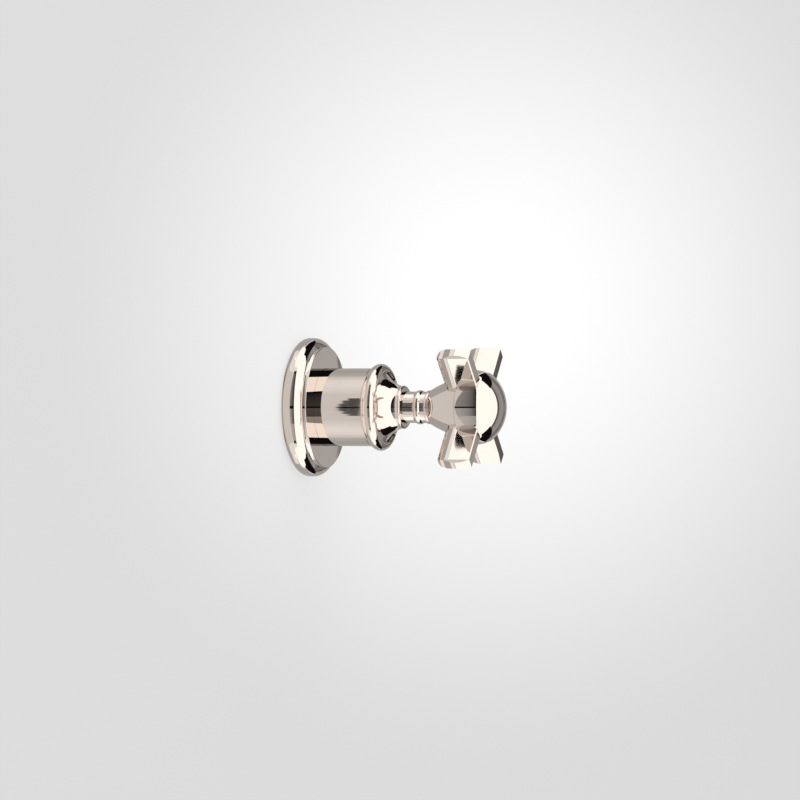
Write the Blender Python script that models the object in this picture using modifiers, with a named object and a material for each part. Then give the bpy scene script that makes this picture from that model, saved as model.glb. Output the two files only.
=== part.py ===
"""A concealed stop valve: what shows on the wall, and the valve that its handle works inside the wall.

Turned pieces are drawn as (radius, out) points. Out is the distance from the finished wall into the room,
so what the wall hides has a negative one. In the world, out runs along -Y and the handle faces -Y. In a
piece's own mesh, X is sideways as in the world, Y is up and Z is out.
"""

import math

import bmesh
import bpy
from mathutils import Matrix, Vector

MM = 0.001

# Clearance between pieces that touch, slide or screw together
GAP = 0.3 * MM

# How far a cutting shape runs past the faces that it cuts
PAST = 1.0 * MM

# Flats round a piece that shows, and round one that the wall or a cover hides
SHOWN_SIDES = 44
INNER_SIDES = 24

# Small broken edge on turned pieces
EDGE_BREAK = 0.25 * MM

# Spindle, which the sizes round it follow
SPINDLE_RADIUS = 4.5 * MM
THRUST_COLLAR_RADIUS = SPINDLE_RADIUS + 0.9 * MM
THRUST_COLLAR_LENGTH = 3.4 * MM
SPLINE_TEETH = 12
SPLINE_RADIUS = SPINDLE_RADIUS - 0.4 * MM
SPLINE_DEPTH = 0.5 * MM
SPLINE_LENGTH = 14.0 * MM
TAIL_RADIUS = SPINDLE_RADIUS - 1.5 * MM
O_RING_CORD = 1.4 * MM
O_RING_SPACING = 5.0 * MM
CIRCLIP_RADIUS = SPINDLE_RADIUS + 1.9 * MM
CIRCLIP_THICKNESS = 1.0 * MM
CIRCLIP_OPENING = math.radians(50)
CIRCLIP_GROOVE_DEPTH = 0.6 * MM

# Valve carrier, shown closed, with its washer and nut
LIFT = 5.0 * MM
CARRIER_FLATS = 2 * THRUST_COLLAR_RADIUS + 0.2 * MM
CARRIER_LENGTH = 20.0 * MM
PLATE_RADIUS = 7.7 * MM
PLATE_THICKNESS = 2.6 * MM
STUD_RADIUS = 2.1 * MM
SEAT_WASHER_RADIUS = PLATE_RADIUS - GAP
SEAT_WASHER_THICKNESS = 3.6 * MM
WASHER_NUT_FLATS = 2 * STUD_RADIUS + 1.6 * MM
WASHER_NUT_LENGTH = 2.4 * MM
STUD_PAST_NUT = 0.6 * MM

# Headwork body
HEADWORK_FRONT = 37.0 * MM
HEADWORK_TUBE_RADIUS = SPINDLE_RADIUS + GAP + 2.5 * MM
HEADWORK_CHEST_RADIUS = HEADWORK_TUBE_RADIUS + 1.5 * MM
HEADWORK_NOSE_RADIUS = (CARRIER_FLATS / 2 + GAP) / math.cos(math.pi / 6) + 2.9 * MM
HEADWORK_NOSE_LENGTH = 11.6 * MM
HEADWORK_WASHER_WIDTH = 2.0 * MM
HEADWORK_WASHER_THICKNESS = 1.5 * MM
HEADWORK_FLANGE_RADIUS = HEADWORK_NOSE_RADIUS + GAP + HEADWORK_WASHER_WIDTH
HEADWORK_FLANGE_LENGTH = 1.6 * MM
HEADWORK_HEX_FLATS = 2 * math.cos(math.pi / 6) * (HEADWORK_FLANGE_RADIUS - GAP)
HEADWORK_HEX_LENGTH = 8.0 * MM
HEADWORK_CHEST_LENGTH = 4.0 * MM
THRUST_WASHER_RADIUS = HEADWORK_TUBE_RADIUS - 0.4 * MM
THRUST_WASHER_THICKNESS = 0.8 * MM

# Mounting sleeve, which screws onto the valve body's boss
SLEEVE_WALL = 2.0 * MM
SLEEVE_RADIUS = HEADWORK_FLANGE_RADIUS + GAP + SLEEVE_WALL
SLEEVE_FRONT = 14.0 * MM
SLEEVE_SOCKET_WALL = 2.2 * MM

# Barrel sleeve, which screws along the mounting sleeve
BARREL_THREAD = 1.75 * MM
BARREL_WALL = 2.3 * MM
BARREL_RADIUS = SLEEVE_RADIUS + BARREL_THREAD + BARREL_WALL
BARREL_FRONT = 34.6 * MM
BARREL_BACK = -8.0 * MM
BARREL_WEB = 7.0 * MM

# Wall flange: a rolled rim with a raised flat face inside it
FLANGE_WIDTH = 14.37 * MM
FLANGE_RADIUS = BARREL_RADIUS + FLANGE_WIDTH
FLANGE_ROLL = 5.0 * MM
FLANGE_BACK_ROLL = 3.6 * MM
FLANGE_FACE_OUT = 11.5 * MM
FLANGE_RIM = 4.1 * MM
FLANGE_FACE_RADIUS = FLANGE_RADIUS - FLANGE_RIM
GASKET_INNER = BARREL_RADIUS + FLANGE_WIDTH * 0.22
GASKET_OUTER = FLANGE_RADIUS - FLANGE_BACK_ROLL - FLANGE_WIDTH * 0.14
GASKET_THICKNESS = 1.5 * MM
FLANGE_RING_CORD = 2.0 * MM
FLANGE_RING_OUT = 6.0 * MM

# Neck sleeve behind the handle, with a bead and an end ring
NECK_RADIUS = SPINDLE_RADIUS + GAP + 2.53 * MM
NECK_INSIDE_BELL = 4.3 * MM
NECK_FRONT = 63.3 * MM
NECK_BEAD_RADIUS = NECK_RADIUS + 0.65 * MM
NECK_BEAD_OUT = 57.9 * MM
NECK_BEAD_LENGTH = 3.4 * MM
NECK_RING_RADIUS = NECK_RADIUS + 0.5 * MM
NECK_RING_LENGTH = 1.4 * MM
NECK_SPIGOT_RADIUS = SPINDLE_RADIUS + GAP + 1.2 * MM
NECK_SPIGOT_LENGTH = 4.0 * MM

# Bell cover: a swollen collar with a rounded rim, and a bell that narrows to a rounded mouth
COLLAR_SWELL = 2.12 * MM
COLLAR_RADIUS = BARREL_RADIUS + COLLAR_SWELL
COLLAR_LENGTH = 6.7 * MM
COLLAR_EDGE = 3.0 * MM
COLLAR_LIP_WIDTH = 0.5 * MM
COLLAR_LIP_HEIGHT = 1.1 * MM
BELL_FOOT_RADIUS = COLLAR_RADIUS - COLLAR_EDGE - COLLAR_LIP_WIDTH
BELL_WAIST_RADIUS = NECK_RADIUS + 2.6 * MM
BELL_LENGTH = 8.2 * MM
BELL_MOUTH_RADIUS = BELL_WAIST_RADIUS + 0.2 * MM
BELL_MOUTH_LENGTH = 2.1 * MM
BELL_MOUTH_ROUND = 1.0 * MM
BELL_WALL = 1.9 * MM
SPIGOT_LENGTH = 5.0 * MM

# Cross handle: a bowl, a round hub and four thin arms
BOWL_THROAT_RADIUS = NECK_RADIUS + 0.9 * MM
BOWL_MOUTH_RADIUS = 14.1 * MM
BOWL_LENGTH = 14.8 * MM
BOWL_FULLNESS = 0.62
HUB_RADIUS = 17.7 * MM
HUB_BACK = 80.3 * MM
ARM_FRONT = 90.1 * MM
ARM_REACH = 36.5 * MM
ARM_THICKNESS = 6.1 * MM
ARM_FLAT_DEPTH = 9.8 * MM
ARM_NOSE_DEPTH = 6.5 * MM
ARM_TIP_BALL = 18.0 * MM
ARM_TIP_PEAK = 6.4 * MM
ARM_TIP_CHAMFER = 1.0 * MM
ARM_CORNER = 3.8 * MM
ARM_FRONT_BREAK = 0.45 * MM
HANDLE_TURN = math.radians(1.7)

# Dome cap and the screw under it
DOME_BALL_RADIUS = 20.4 * MM
DOME_RISE = 9.0 * MM
DOME_TOP = ARM_FRONT + DOME_RISE
DOME_SHOULDER = math.radians(50)
CAP_SPIGOT_RADIUS = 7.5 * MM
CAP_SPIGOT_LENGTH = 4.2 * MM
SCREW_HEAD_RADIUS = CAP_SPIGOT_RADIUS - 3.1 * MM
SCREW_HEAD_HEIGHT = 3.0 * MM
SCREW_RADIUS = SPLINE_RADIUS - SPLINE_DEPTH - 1.1 * MM
SCREW_LENGTH = 15.0 * MM
SCREW_SOCKET_FLATS = 4.0 * MM
SCREW_WEB = 3.4 * MM

# Valve body: an upright run with the seat across it, and a boss towards the wall
BOSS_OUT = -20.0 * MM
BOSS_RADIUS = HEADWORK_NOSE_RADIUS + GAP + 6.6 * MM
BOSS_SHOULDER = 12.7 * MM
SEAT_OUT = -42.0 * MM
SEAT_HOLE_RADIUS = SEAT_WASHER_RADIUS - 1.8 * MM
SEAT_RIM_WIDTH = 1.6 * MM
SEAT_RIM_HEIGHT = 1.5 * MM
RUN_OUT = -48.0 * MM
RUN_HALF_LENGTH = 33.0 * MM
SOCKET_RADIUS = 9.5 * MM
SOCKET_DEPTH = 14.0 * MM
SOCKET_CHAMFER = 1.0 * MM
RUN_RADIUS = SOCKET_RADIUS + 2.7 * MM
RUN_HEX_FLATS = 2 * SOCKET_RADIUS + 8.0 * MM
RUN_HEX_LENGTH = 10.0 * MM
BULB_RADIUS = RUN_RADIUS + 3.3 * MM
BULB_HALF_LENGTH = 10.0 * MM
INLET_RADIUS = SEAT_HOLE_RADIUS + 0.2 * MM
INLET_OUT = RUN_OUT - 3.5 * MM
OUTLET_RADIUS = 4.2 * MM
OUTLET_LOW = Vector((0, 4.0 * MM, RUN_OUT + 12.5 * MM))
OUTLET_HIGH = Vector((0, RUN_HALF_LENGTH - SOCKET_DEPTH + 2.0 * MM, RUN_OUT + 3.0 * MM))

# Places along the spindle that follow from the sizes above
COLLAR_BACK = BARREL_FRONT + GAP
COLLAR_FRONT = COLLAR_BACK + COLLAR_LENGTH
BELL_FOOT = COLLAR_FRONT - COLLAR_LIP_HEIGHT
BELL_WAIST = BELL_FOOT + BELL_LENGTH
BELL_FRONT = BELL_WAIST + BELL_MOUTH_LENGTH
NECK_BACK = BELL_FRONT - NECK_INSIDE_BELL
NECK_SPIGOT_FRONT = NECK_FRONT + NECK_SPIGOT_LENGTH
HANDLE_BACK = NECK_FRONT + GAP
CAP_BACK = ARM_FRONT + GAP
SCREW_SEAT = CAP_BACK - CAP_SPIGOT_LENGTH - SCREW_HEAD_HEIGHT - 2 * GAP
SPINDLE_FRONT = SCREW_SEAT - SCREW_WEB - GAP
SPLINE_BACK = SPINDLE_FRONT - SPLINE_LENGTH
CIRCLIP_BACK = HEADWORK_FRONT + THRUST_WASHER_THICKNESS + 2 * GAP
CIRCLIP_FRONT = CIRCLIP_BACK + CIRCLIP_THICKNESS
HEADWORK_FLANGE_BACK = BOSS_OUT + HEADWORK_WASHER_THICKNESS + 2 * GAP
HEX_BACK = HEADWORK_FLANGE_BACK + HEADWORK_FLANGE_LENGTH
HEX_FRONT = HEX_BACK + HEADWORK_HEX_LENGTH
HEADWORK_NOSE = HEADWORK_FLANGE_BACK - HEADWORK_NOSE_LENGTH
WASHER_BACK = SEAT_OUT + GAP
PLATE_BACK = WASHER_BACK + SEAT_WASHER_THICKNESS + GAP
PLATE_FRONT = PLATE_BACK + PLATE_THICKNESS
CARRIER_FRONT = PLATE_FRONT + CARRIER_LENGTH
CARRIER_BORE_END = PLATE_FRONT + GAP
TAIL_END = CARRIER_BORE_END + LIFT + GAP
COLLAR_SEAT_BACK = CARRIER_FRONT + LIFT + GAP
COLLAR_SEAT_FRONT = COLLAR_SEAT_BACK + THRUST_COLLAR_LENGTH
NUT_FRONT = WASHER_BACK - GAP
STUD_END = NUT_FRONT - WASHER_NUT_LENGTH - STUD_PAST_NUT


def clear_scene():
    """Removes whatever the scene starts with."""
    for old in list(bpy.data.objects):
        bpy.data.objects.remove(old)


def new_collection(name):
    """A collection linked into the scene."""
    made = bpy.data.collections.new(name)
    bpy.context.scene.collection.children.link(made)
    return made


def finish_of(name, colour, roughness, metallic):
    """A material with one Principled shader."""
    made = bpy.data.materials.new(name)
    made.use_nodes = True
    shader = made.node_tree.nodes["Principled BSDF"]
    shader.inputs["Base Color"].default_value = (*colour, 1)
    shader.inputs["Roughness"].default_value = roughness
    shader.inputs["Metallic"].default_value = metallic
    made.diffuse_color = (*colour, 1)
    return made


def axis_empty(name, parent=None):
    """An empty whose Z points out of the wall along the spindle."""
    made = bpy.data.objects.new(name, None)
    made.empty_display_size = 10 * MM
    PARTS.objects.link(made)
    if parent:
        made.parent = parent
    else:
        made.rotation_euler = (math.pi / 2, 0, 0)
    return made


def arc(centre, radius, start, end, steps):
    """Points round a centre between two angles in degrees, with 0 towards +radius and 90 towards +out."""
    angles = [math.radians(start + (end - start) * i / steps) for i in range(steps + 1)]
    return [(centre[0] + radius * math.cos(a), centre[1] + radius * math.sin(a)) for a in angles]


def sweep(start, pull, end, steps):
    """Points on a curve from start to end that leans towards pull."""
    points = []
    for i in range(steps + 1):
        u = i / steps
        weights = ((1 - u) ** 2, 2 * u * (1 - u), u**2)
        radius = sum(w * p[0] for w, p in zip(weights, (start, pull, end)))
        out = sum(w * p[1] for w, p in zip(weights, (start, pull, end)))
        points.append((radius, out))
    return points


def hexagon(flats):
    """The corners of a hexagon with this width across its flats."""
    corner = flats / 2 / math.cos(math.pi / 6)
    return [(corner * math.cos(i * math.pi / 3), corner * math.sin(i * math.pi / 3)) for i in range(6)]


def baked(obj):
    """Swaps an object's mesh for what its modifiers make of it, smooth but for its sharp edges."""
    graph = bpy.context.evaluated_depsgraph_get()
    graph.update()
    mesh = bpy.data.meshes.new_from_object(obj.evaluated_get(graph))
    mesh.name = obj.name
    obj.modifiers.clear()
    obj.data = mesh
    mesh.shade_smooth()
    mesh.set_sharp_from_angle(angle=math.radians(32))
    return obj


def placed(obj, parent, finish):
    """Links a piece under its parent. A shape with no finish is for cutting or joining, on the same axis."""
    (PARTS if finish else CUTTERS).objects.link(obj)
    obj.parent = parent or FIXED
    if finish:
        obj.data.materials.append(finish)
    else:
        obj.hide_render = True
        obj.display_type = "WIRE"
    return obj


def turned(name, profile, sides=INNER_SIDES, parent=None, finish=None):
    """A turned piece. Its profile runs down the outer side and back up the bore, or from axis to axis."""
    mesh = bpy.data.meshes.new(name)
    count = len(profile)
    edges = [(i, i + 1) for i in range(count - 1)]
    if profile[0][0] or profile[-1][0]:
        edges.append((count - 1, 0))
    mesh.from_pydata([(radius, 0, out) for radius, out in profile], edges, [])
    obj = placed(bpy.data.objects.new(name, mesh), parent, finish)
    screw = obj.modifiers.new("Turn", "SCREW")
    screw.axis = "Z"
    screw.steps = sides
    screw.render_steps = sides
    screw.use_merge_vertices = True
    screw.merge_threshold = 0.01 * MM
    return baked(obj)


def prism(name, outline, low, high, parent=None, finish=None):
    """A flat outline in X and Y, drawn out along Z from low to high."""
    shape = bmesh.new()
    base = shape.faces.new([shape.verts.new((x, y, low)) for x, y in outline])
    raised = bmesh.ops.extrude_face_region(shape, geom=[base])["geom"]
    tops = [v for v in raised if isinstance(v, bmesh.types.BMVert)]
    bmesh.ops.translate(shape, vec=(0, 0, high - low), verts=tops)
    bmesh.ops.recalc_face_normals(shape, faces=shape.faces)
    mesh = bpy.data.meshes.new(name)
    shape.to_mesh(mesh)
    shape.free()
    return baked(placed(bpy.data.objects.new(name, mesh), parent, finish))


def rod(name, radius, low, high, sides=INNER_SIDES):
    """A round cutting bar along Z."""
    return turned(name, [(0, high), (radius, high), (radius, low), (0, low)], sides)


def moved(obj, matrix):
    """Moves a shape within its own mesh."""
    obj.data.transform(matrix)
    return obj


def along_run(obj):
    """Lays a shape that was drawn along Z along the upright run of the valve body."""
    return moved(obj, Matrix.Translation((0, 0, RUN_OUT)) @ Matrix.Rotation(-math.pi / 2, 4, "X"))


def combined(obj, tools, operation):
    """Applies one Boolean after another, and clears away the shapes that they used."""
    for tool in tools:
        step = obj.modifiers.new(tool.name, "BOOLEAN")
        step.operation = operation
        step.object = tool
        step.solver = "EXACT"
        baked(obj)
        bpy.data.objects.remove(tool)
    return obj


def cut(obj, *tools):
    return combined(obj, tools, "DIFFERENCE")


def joined(obj, *tools):
    return combined(obj, tools, "UNION")


def trimmed(obj, *tools):
    return combined(obj, tools, "INTERSECT")


def torus_profile(middle_radius, middle_out, cord):
    """The section of a seal ring."""
    return arc((middle_radius, middle_out), cord / 2, 90, -225, 7)


def wall_flange():
    """Flat raised face, small step, rolled rim; behind it a groove for the gasket, and one in the bore."""
    bore = BARREL_RADIUS + GAP
    roll = (FLANGE_RADIUS - FLANGE_ROLL, FLANGE_ROLL)
    step_out = FLANGE_ROLL + math.sqrt(FLANGE_ROLL**2 - (FLANGE_FACE_RADIUS - roll[0]) ** 2)
    step_angle = math.degrees(math.acos((FLANGE_FACE_RADIUS - roll[0]) / FLANGE_ROLL))
    groove = bore + FLANGE_RING_CORD + GAP
    half = FLANGE_RING_CORD / 2 + GAP
    depth = GASKET_THICKNESS + GAP
    profile = [(bore, FLANGE_FACE_OUT), (FLANGE_FACE_RADIUS - EDGE_BREAK, FLANGE_FACE_OUT)]
    profile += [(FLANGE_FACE_RADIUS, FLANGE_FACE_OUT - EDGE_BREAK), (FLANGE_FACE_RADIUS, step_out)]
    profile += arc(roll, FLANGE_ROLL, step_angle, 0, 8)[1:]
    profile += arc((FLANGE_RADIUS - FLANGE_BACK_ROLL, FLANGE_BACK_ROLL), FLANGE_BACK_ROLL, 0, -90, 7)
    profile += [(GASKET_OUTER + GAP, 0), (GASKET_OUTER + GAP, depth), (GASKET_INNER - GAP, depth)]
    profile += [(GASKET_INNER - GAP, 0), (bore, 0), (bore, FLANGE_RING_OUT - half)]
    profile += [(groove, FLANGE_RING_OUT - half), (groove, FLANGE_RING_OUT + half)]
    profile += [(bore, FLANGE_RING_OUT + half)]
    turned("wall_flange", profile, SHOWN_SIDES, FIXED, NICKEL)


def flange_seals():
    """The flat gasket behind the flange, and the ring in its bore."""
    gasket = [(GASKET_INNER, GASKET_THICKNESS), (GASKET_OUTER, GASKET_THICKNESS)]
    gasket += [(GASKET_OUTER, 0), (GASKET_INNER, 0)]
    turned("flange_gasket", gasket, INNER_SIDES, FIXED, RUBBER)
    middle = BARREL_RADIUS + GAP + FLANGE_RING_CORD / 2
    turned("flange_o_ring", torus_profile(middle, FLANGE_RING_OUT, FLANGE_RING_CORD), INNER_SIDES, FIXED, RUBBER)


def barrel_sleeve():
    """A plain round tube with a web at its back that screws along the mounting sleeve."""
    inside = BARREL_RADIUS - BARREL_WALL
    edge = BARREL_RADIUS - EDGE_BREAK
    web = BARREL_BACK + BARREL_WEB
    profile = [(inside, BARREL_FRONT), (BARREL_RADIUS, BARREL_FRONT)]
    profile += [(BARREL_RADIUS, BARREL_BACK + EDGE_BREAK), (edge, BARREL_BACK)]
    profile += [(SLEEVE_RADIUS + GAP, BARREL_BACK), (SLEEVE_RADIUS + GAP, web), (inside, web)]
    turned("barrel_sleeve", profile, SHOWN_SIDES, FIXED, NICKEL)


def bell_cover():
    """Collar and bell in one, with a spigot that goes into the barrel."""
    bore = NECK_RADIUS + GAP
    spigot = BARREL_RADIUS - BARREL_WALL - GAP
    spigot_back = COLLAR_BACK - SPIGOT_LENGTH
    mouth = (BELL_MOUTH_RADIUS - BELL_MOUTH_ROUND, BELL_FRONT - BELL_MOUTH_ROUND)
    waist = (BELL_WAIST_RADIUS, BELL_WAIST)
    foot = (BELL_FOOT_RADIUS, BELL_FOOT)
    lean = (BELL_WAIST_RADIUS * 0.72 + BELL_FOOT_RADIUS * 0.28, BELL_FOOT + BELL_LENGTH * 0.25)
    edge = (COLLAR_RADIUS - COLLAR_EDGE, COLLAR_FRONT - COLLAR_EDGE)
    swell = (COLLAR_RADIUS, COLLAR_BACK + COLLAR_LENGTH * 0.3)
    profile = [(bore, BELL_FRONT)]
    profile += arc(mouth, BELL_MOUTH_ROUND, 90, 0, 4)
    profile += sweep(waist, lean, foot, 8)
    profile += [(edge[0] - COLLAR_LIP_WIDTH, COLLAR_FRONT - EDGE_BREAK)]
    profile += arc(edge, COLLAR_EDGE, 90, 0, 6)
    profile += sweep(profile[-1], swell, (BARREL_RADIUS, COLLAR_BACK), 5)[1:]
    profile += [(spigot, COLLAR_BACK), (spigot, spigot_back), (spigot - BELL_WALL, spigot_back)]
    profile += [(spigot - BELL_WALL, BELL_FOOT - BELL_WALL), (bore, BELL_WAIST - BELL_WALL)]
    turned("bell_cover", profile, SHOWN_SIDES, FIXED, NICKEL)


def mounting_sleeve():
    """A long threaded sleeve on a wider socket that screws over the boss."""
    inside = SLEEVE_RADIUS - SLEEVE_WALL
    socket = BOSS_RADIUS + GAP
    outer = socket + SLEEVE_SOCKET_WALL
    shoulder = BOSS_OUT + GAP
    profile = [(inside, SLEEVE_FRONT), (SLEEVE_RADIUS - EDGE_BREAK, SLEEVE_FRONT)]
    profile += [(SLEEVE_RADIUS, SLEEVE_FRONT - EDGE_BREAK), (SLEEVE_RADIUS, shoulder + SLEEVE_SOCKET_WALL)]
    profile += [(outer, shoulder + SLEEVE_SOCKET_WALL), (outer, BOSS_OUT - BOSS_SHOULDER)]
    profile += [(socket, BOSS_OUT - BOSS_SHOULDER), (socket, shoulder), (inside, shoulder)]
    turned("mounting_sleeve", profile, INNER_SIDES, FIXED, BRASS)


def neck_sleeve():
    """A tube with a bead and an end ring, and a spigot that screws into the back of the handle."""
    bore = SPINDLE_RADIUS + GAP
    half = NECK_BEAD_LENGTH / 2
    rise = NECK_BEAD_RADIUS - NECK_RADIUS
    ball = (half**2 + rise**2) / (2 * rise)
    spread = math.degrees(math.asin(half / ball))
    ring_back = NECK_FRONT - NECK_RING_LENGTH
    profile = [(bore, NECK_SPIGOT_FRONT), (NECK_SPIGOT_RADIUS, NECK_SPIGOT_FRONT)]
    profile += [(NECK_SPIGOT_RADIUS, NECK_FRONT), (NECK_RING_RADIUS - EDGE_BREAK, NECK_FRONT)]
    profile += [(NECK_RING_RADIUS, NECK_FRONT - EDGE_BREAK), (NECK_RING_RADIUS, ring_back + EDGE_BREAK)]
    profile += [(NECK_RING_RADIUS - EDGE_BREAK, ring_back), (NECK_RADIUS, ring_back)]
    profile += arc((NECK_BEAD_RADIUS - ball, NECK_BEAD_OUT), ball, spread, -spread, 6)
    profile += [(NECK_RADIUS, NECK_BACK), (bore, NECK_BACK)]
    turned("neck_sleeve", profile, SHOWN_SIDES, HANDLE, NICKEL)


def crown_profile():
    """The dome and the hub's side as one curve, from the top of the dome down to the back of the hub."""
    centre = (0, DOME_TOP - DOME_BALL_RADIUS)
    shoulder = 90 - math.degrees(DOME_SHOULDER)
    cap = arc(centre, DOME_BALL_RADIUS, 90, shoulder, 8)
    reach = (HUB_RADIUS - cap[-1][0]) * math.tan(DOME_SHOULDER)
    side = sweep(cap[-1], (HUB_RADIUS, cap[-1][1] - reach), (HUB_RADIUS, HUB_BACK), 8)
    return [(0, DOME_TOP)] + cap[1:] + side[1:]


def between(points, high, low):
    """The stretch of a falling profile from one height down to another."""
    stretch = []
    for (radius, out), (next_radius, next_out) in zip(points, points[1:]):
        for level in (high, low):
            if out > level > next_out:
                share = (out - level) / (out - next_out)
                stretch.append((radius + share * (next_radius - radius), level))
        if high > next_out > low:
            stretch.append((next_radius, next_out))
    return stretch


def arm_section():
    """An arm cut across: flat front with broken edges, flat sides, half-round back."""
    half = ARM_THICKNESS / 2
    flat_end = ARM_FRONT - ARM_FLAT_DEPTH
    chamfer = ARM_FRONT_BREAK
    section = [(half, ARM_FRONT - chamfer), (half - chamfer, ARM_FRONT)]
    section += [(chamfer - half, ARM_FRONT), (-half, ARM_FRONT - chamfer)]
    for i in range(11):
        angle = math.pi * i / 10
        section.append((-half * math.cos(angle), flat_end - ARM_NOSE_DEPTH * math.sin(angle)))
    return section


def arm_side():
    """A pair of arms seen from their flat side, as (along, out): crowned ends, round back corners."""
    back = ARM_FRONT - ARM_FLAT_DEPTH - ARM_NOSE_DEPTH
    peak = ARM_FRONT - ARM_TIP_PEAK
    front_angle = math.degrees(math.asin((ARM_TIP_PEAK - ARM_FRONT_BREAK) / ARM_TIP_BALL))
    corner_angle = math.degrees(math.asin((peak - back - ARM_CORNER) / ARM_TIP_BALL))
    tip = arc((ARM_REACH - ARM_TIP_BALL, peak), ARM_TIP_BALL, front_angle, -corner_angle, 6)
    front = (tip[0][0] - ARM_FRONT_BREAK - PAST, tip[0][1] + ARM_FRONT_BREAK + PAST)
    centre = (tip[-1][0] - ARM_CORNER * math.cos(math.radians(corner_angle)), back + ARM_CORNER - GAP / 2)
    side = [front] + tip + arc(centre, ARM_CORNER, -corner_angle - 6, -90, 5)
    return side + [(-along, out) for along, out in reversed(side)]


def arm_plan():
    """A pair of arms seen from the front: only the chamfers beside the ends cut anything."""
    half = ARM_THICKNESS / 2
    wide = (half + PAST, ARM_REACH - ARM_TIP_CHAMFER - PAST)
    narrow = (half - ARM_TIP_CHAMFER - PAST, ARM_REACH + PAST)
    quarter = [wide, narrow]
    mirrored = [(-x, y) for x, y in reversed(quarter)]
    upper = quarter + mirrored
    return upper + [(-x, -y) for x, y in upper]


def arm_pair(name, turn):
    """Two opposite arms as one bar through the hub."""
    bar = prism(name, arm_section(), -ARM_REACH - PAST, ARM_REACH + PAST)
    moved(bar, Matrix.Rotation(math.pi / 2, 4, "X"))
    side = prism(name + "_side", arm_side(), -ARM_THICKNESS, ARM_THICKNESS)
    moved(side, Matrix(((0, 0, 1, 0), (1, 0, 0, 0), (0, 1, 0, 0), (0, 0, 0, 1))))
    plan = prism(name + "_plan", arm_plan(), HANDLE_BACK, ARM_FRONT + 2 * PAST)
    trimmed(bar, side, plan)
    return moved(bar, Matrix.Rotation(turn, 4, "Z"))


def spline_outline(clearance):
    """The toothed section of the spindle's end, grown by the clearance."""
    points = []
    for i in range(SPLINE_TEETH * 4):
        radius = SPLINE_RADIUS + clearance - (SPLINE_DEPTH if i % 4 > 1 else 0)
        angle = 2 * math.pi * i / (SPLINE_TEETH * 4)
        points.append((radius * math.cos(angle), radius * math.sin(angle)))
    return points


def cross_handle():
    """Bowl, hub and arms in one casting, bored for the neck, the spindle, the screw and the cap."""
    bowl_front = (BOWL_MOUTH_RADIUS, HANDLE_BACK + BOWL_LENGTH)
    bowl_back = (BOWL_THROAT_RADIUS, HANDLE_BACK + EDGE_BREAK)
    full = BOWL_THROAT_RADIUS + BOWL_FULLNESS * (BOWL_MOUTH_RADIUS - BOWL_THROAT_RADIUS)
    lean = (full, HANDLE_BACK + BOWL_LENGTH * 0.43)
    profile = [(0, ARM_FRONT)] + between(crown_profile(), ARM_FRONT, HUB_BACK)
    profile += [(HUB_RADIUS, HUB_BACK)]
    profile += sweep(bowl_front, lean, bowl_back, 8)
    profile += [(BOWL_THROAT_RADIUS - EDGE_BREAK, HANDLE_BACK), (0, HANDLE_BACK)]
    handle = turned("cross_handle", profile, SHOWN_SIDES, HANDLE, NICKEL)
    quarter = math.pi / 4
    joined(handle, arm_pair("arms_a", HANDLE_TURN + quarter), arm_pair("arms_b", HANDLE_TURN - quarter))
    cap_bore = CAP_SPIGOT_RADIUS + GAP
    neck_bore = NECK_SPIGOT_RADIUS + GAP
    neck_end = NECK_SPIGOT_FRONT + GAP
    screw_bore = SCREW_RADIUS + GAP
    bores = [(0, ARM_FRONT + PAST), (cap_bore, ARM_FRONT + PAST), (cap_bore, SCREW_SEAT)]
    bores += [(screw_bore, SCREW_SEAT), (screw_bore, neck_end), (neck_bore, neck_end)]
    bores += [(neck_bore, HANDLE_BACK - PAST), (0, HANDLE_BACK - PAST)]
    spline = prism("spline_bore", spline_outline(GAP), neck_end - PAST, SPINDLE_FRONT + GAP)
    cut(handle, turned("handle_bores", bores), spline)


def dome_cap():
    """The domed cap, which carries on the hub's curve, with a spigot that presses into the hub."""
    recess = SCREW_HEAD_RADIUS + GAP
    spigot_back = CAP_BACK - CAP_SPIGOT_LENGTH
    profile = [(0, DOME_TOP)] + between(crown_profile(), DOME_TOP, CAP_BACK)
    profile += [(CAP_SPIGOT_RADIUS, CAP_BACK), (CAP_SPIGOT_RADIUS, spigot_back)]
    profile += [(recess, spigot_back), (recess, CAP_BACK), (0, CAP_BACK)]
    turned("dome_cap", profile, SHOWN_SIDES, HANDLE, NICKEL)


def handle_screw():
    """A socket-head screw through the hub into the spindle."""
    seat = SCREW_SEAT + GAP
    top = seat + SCREW_HEAD_HEIGHT
    profile = [(0, top), (SCREW_HEAD_RADIUS, top), (SCREW_HEAD_RADIUS, seat), (SCREW_RADIUS, seat)]
    profile += [(SCREW_RADIUS, seat - SCREW_LENGTH), (0, seat - SCREW_LENGTH)]
    screw = turned("handle_screw", profile, INNER_SIDES, HANDLE, STEEL)
    cut(screw, prism("screw_socket", hexagon(SCREW_SOCKET_FLATS), seat + SCREW_HEAD_HEIGHT / 3, top + PAST))


def o_ring_outs():
    """Where the spindle's two seal rings sit."""
    front = HEADWORK_FRONT - O_RING_SPACING
    return {"front": front, "back": front - O_RING_SPACING}


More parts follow.
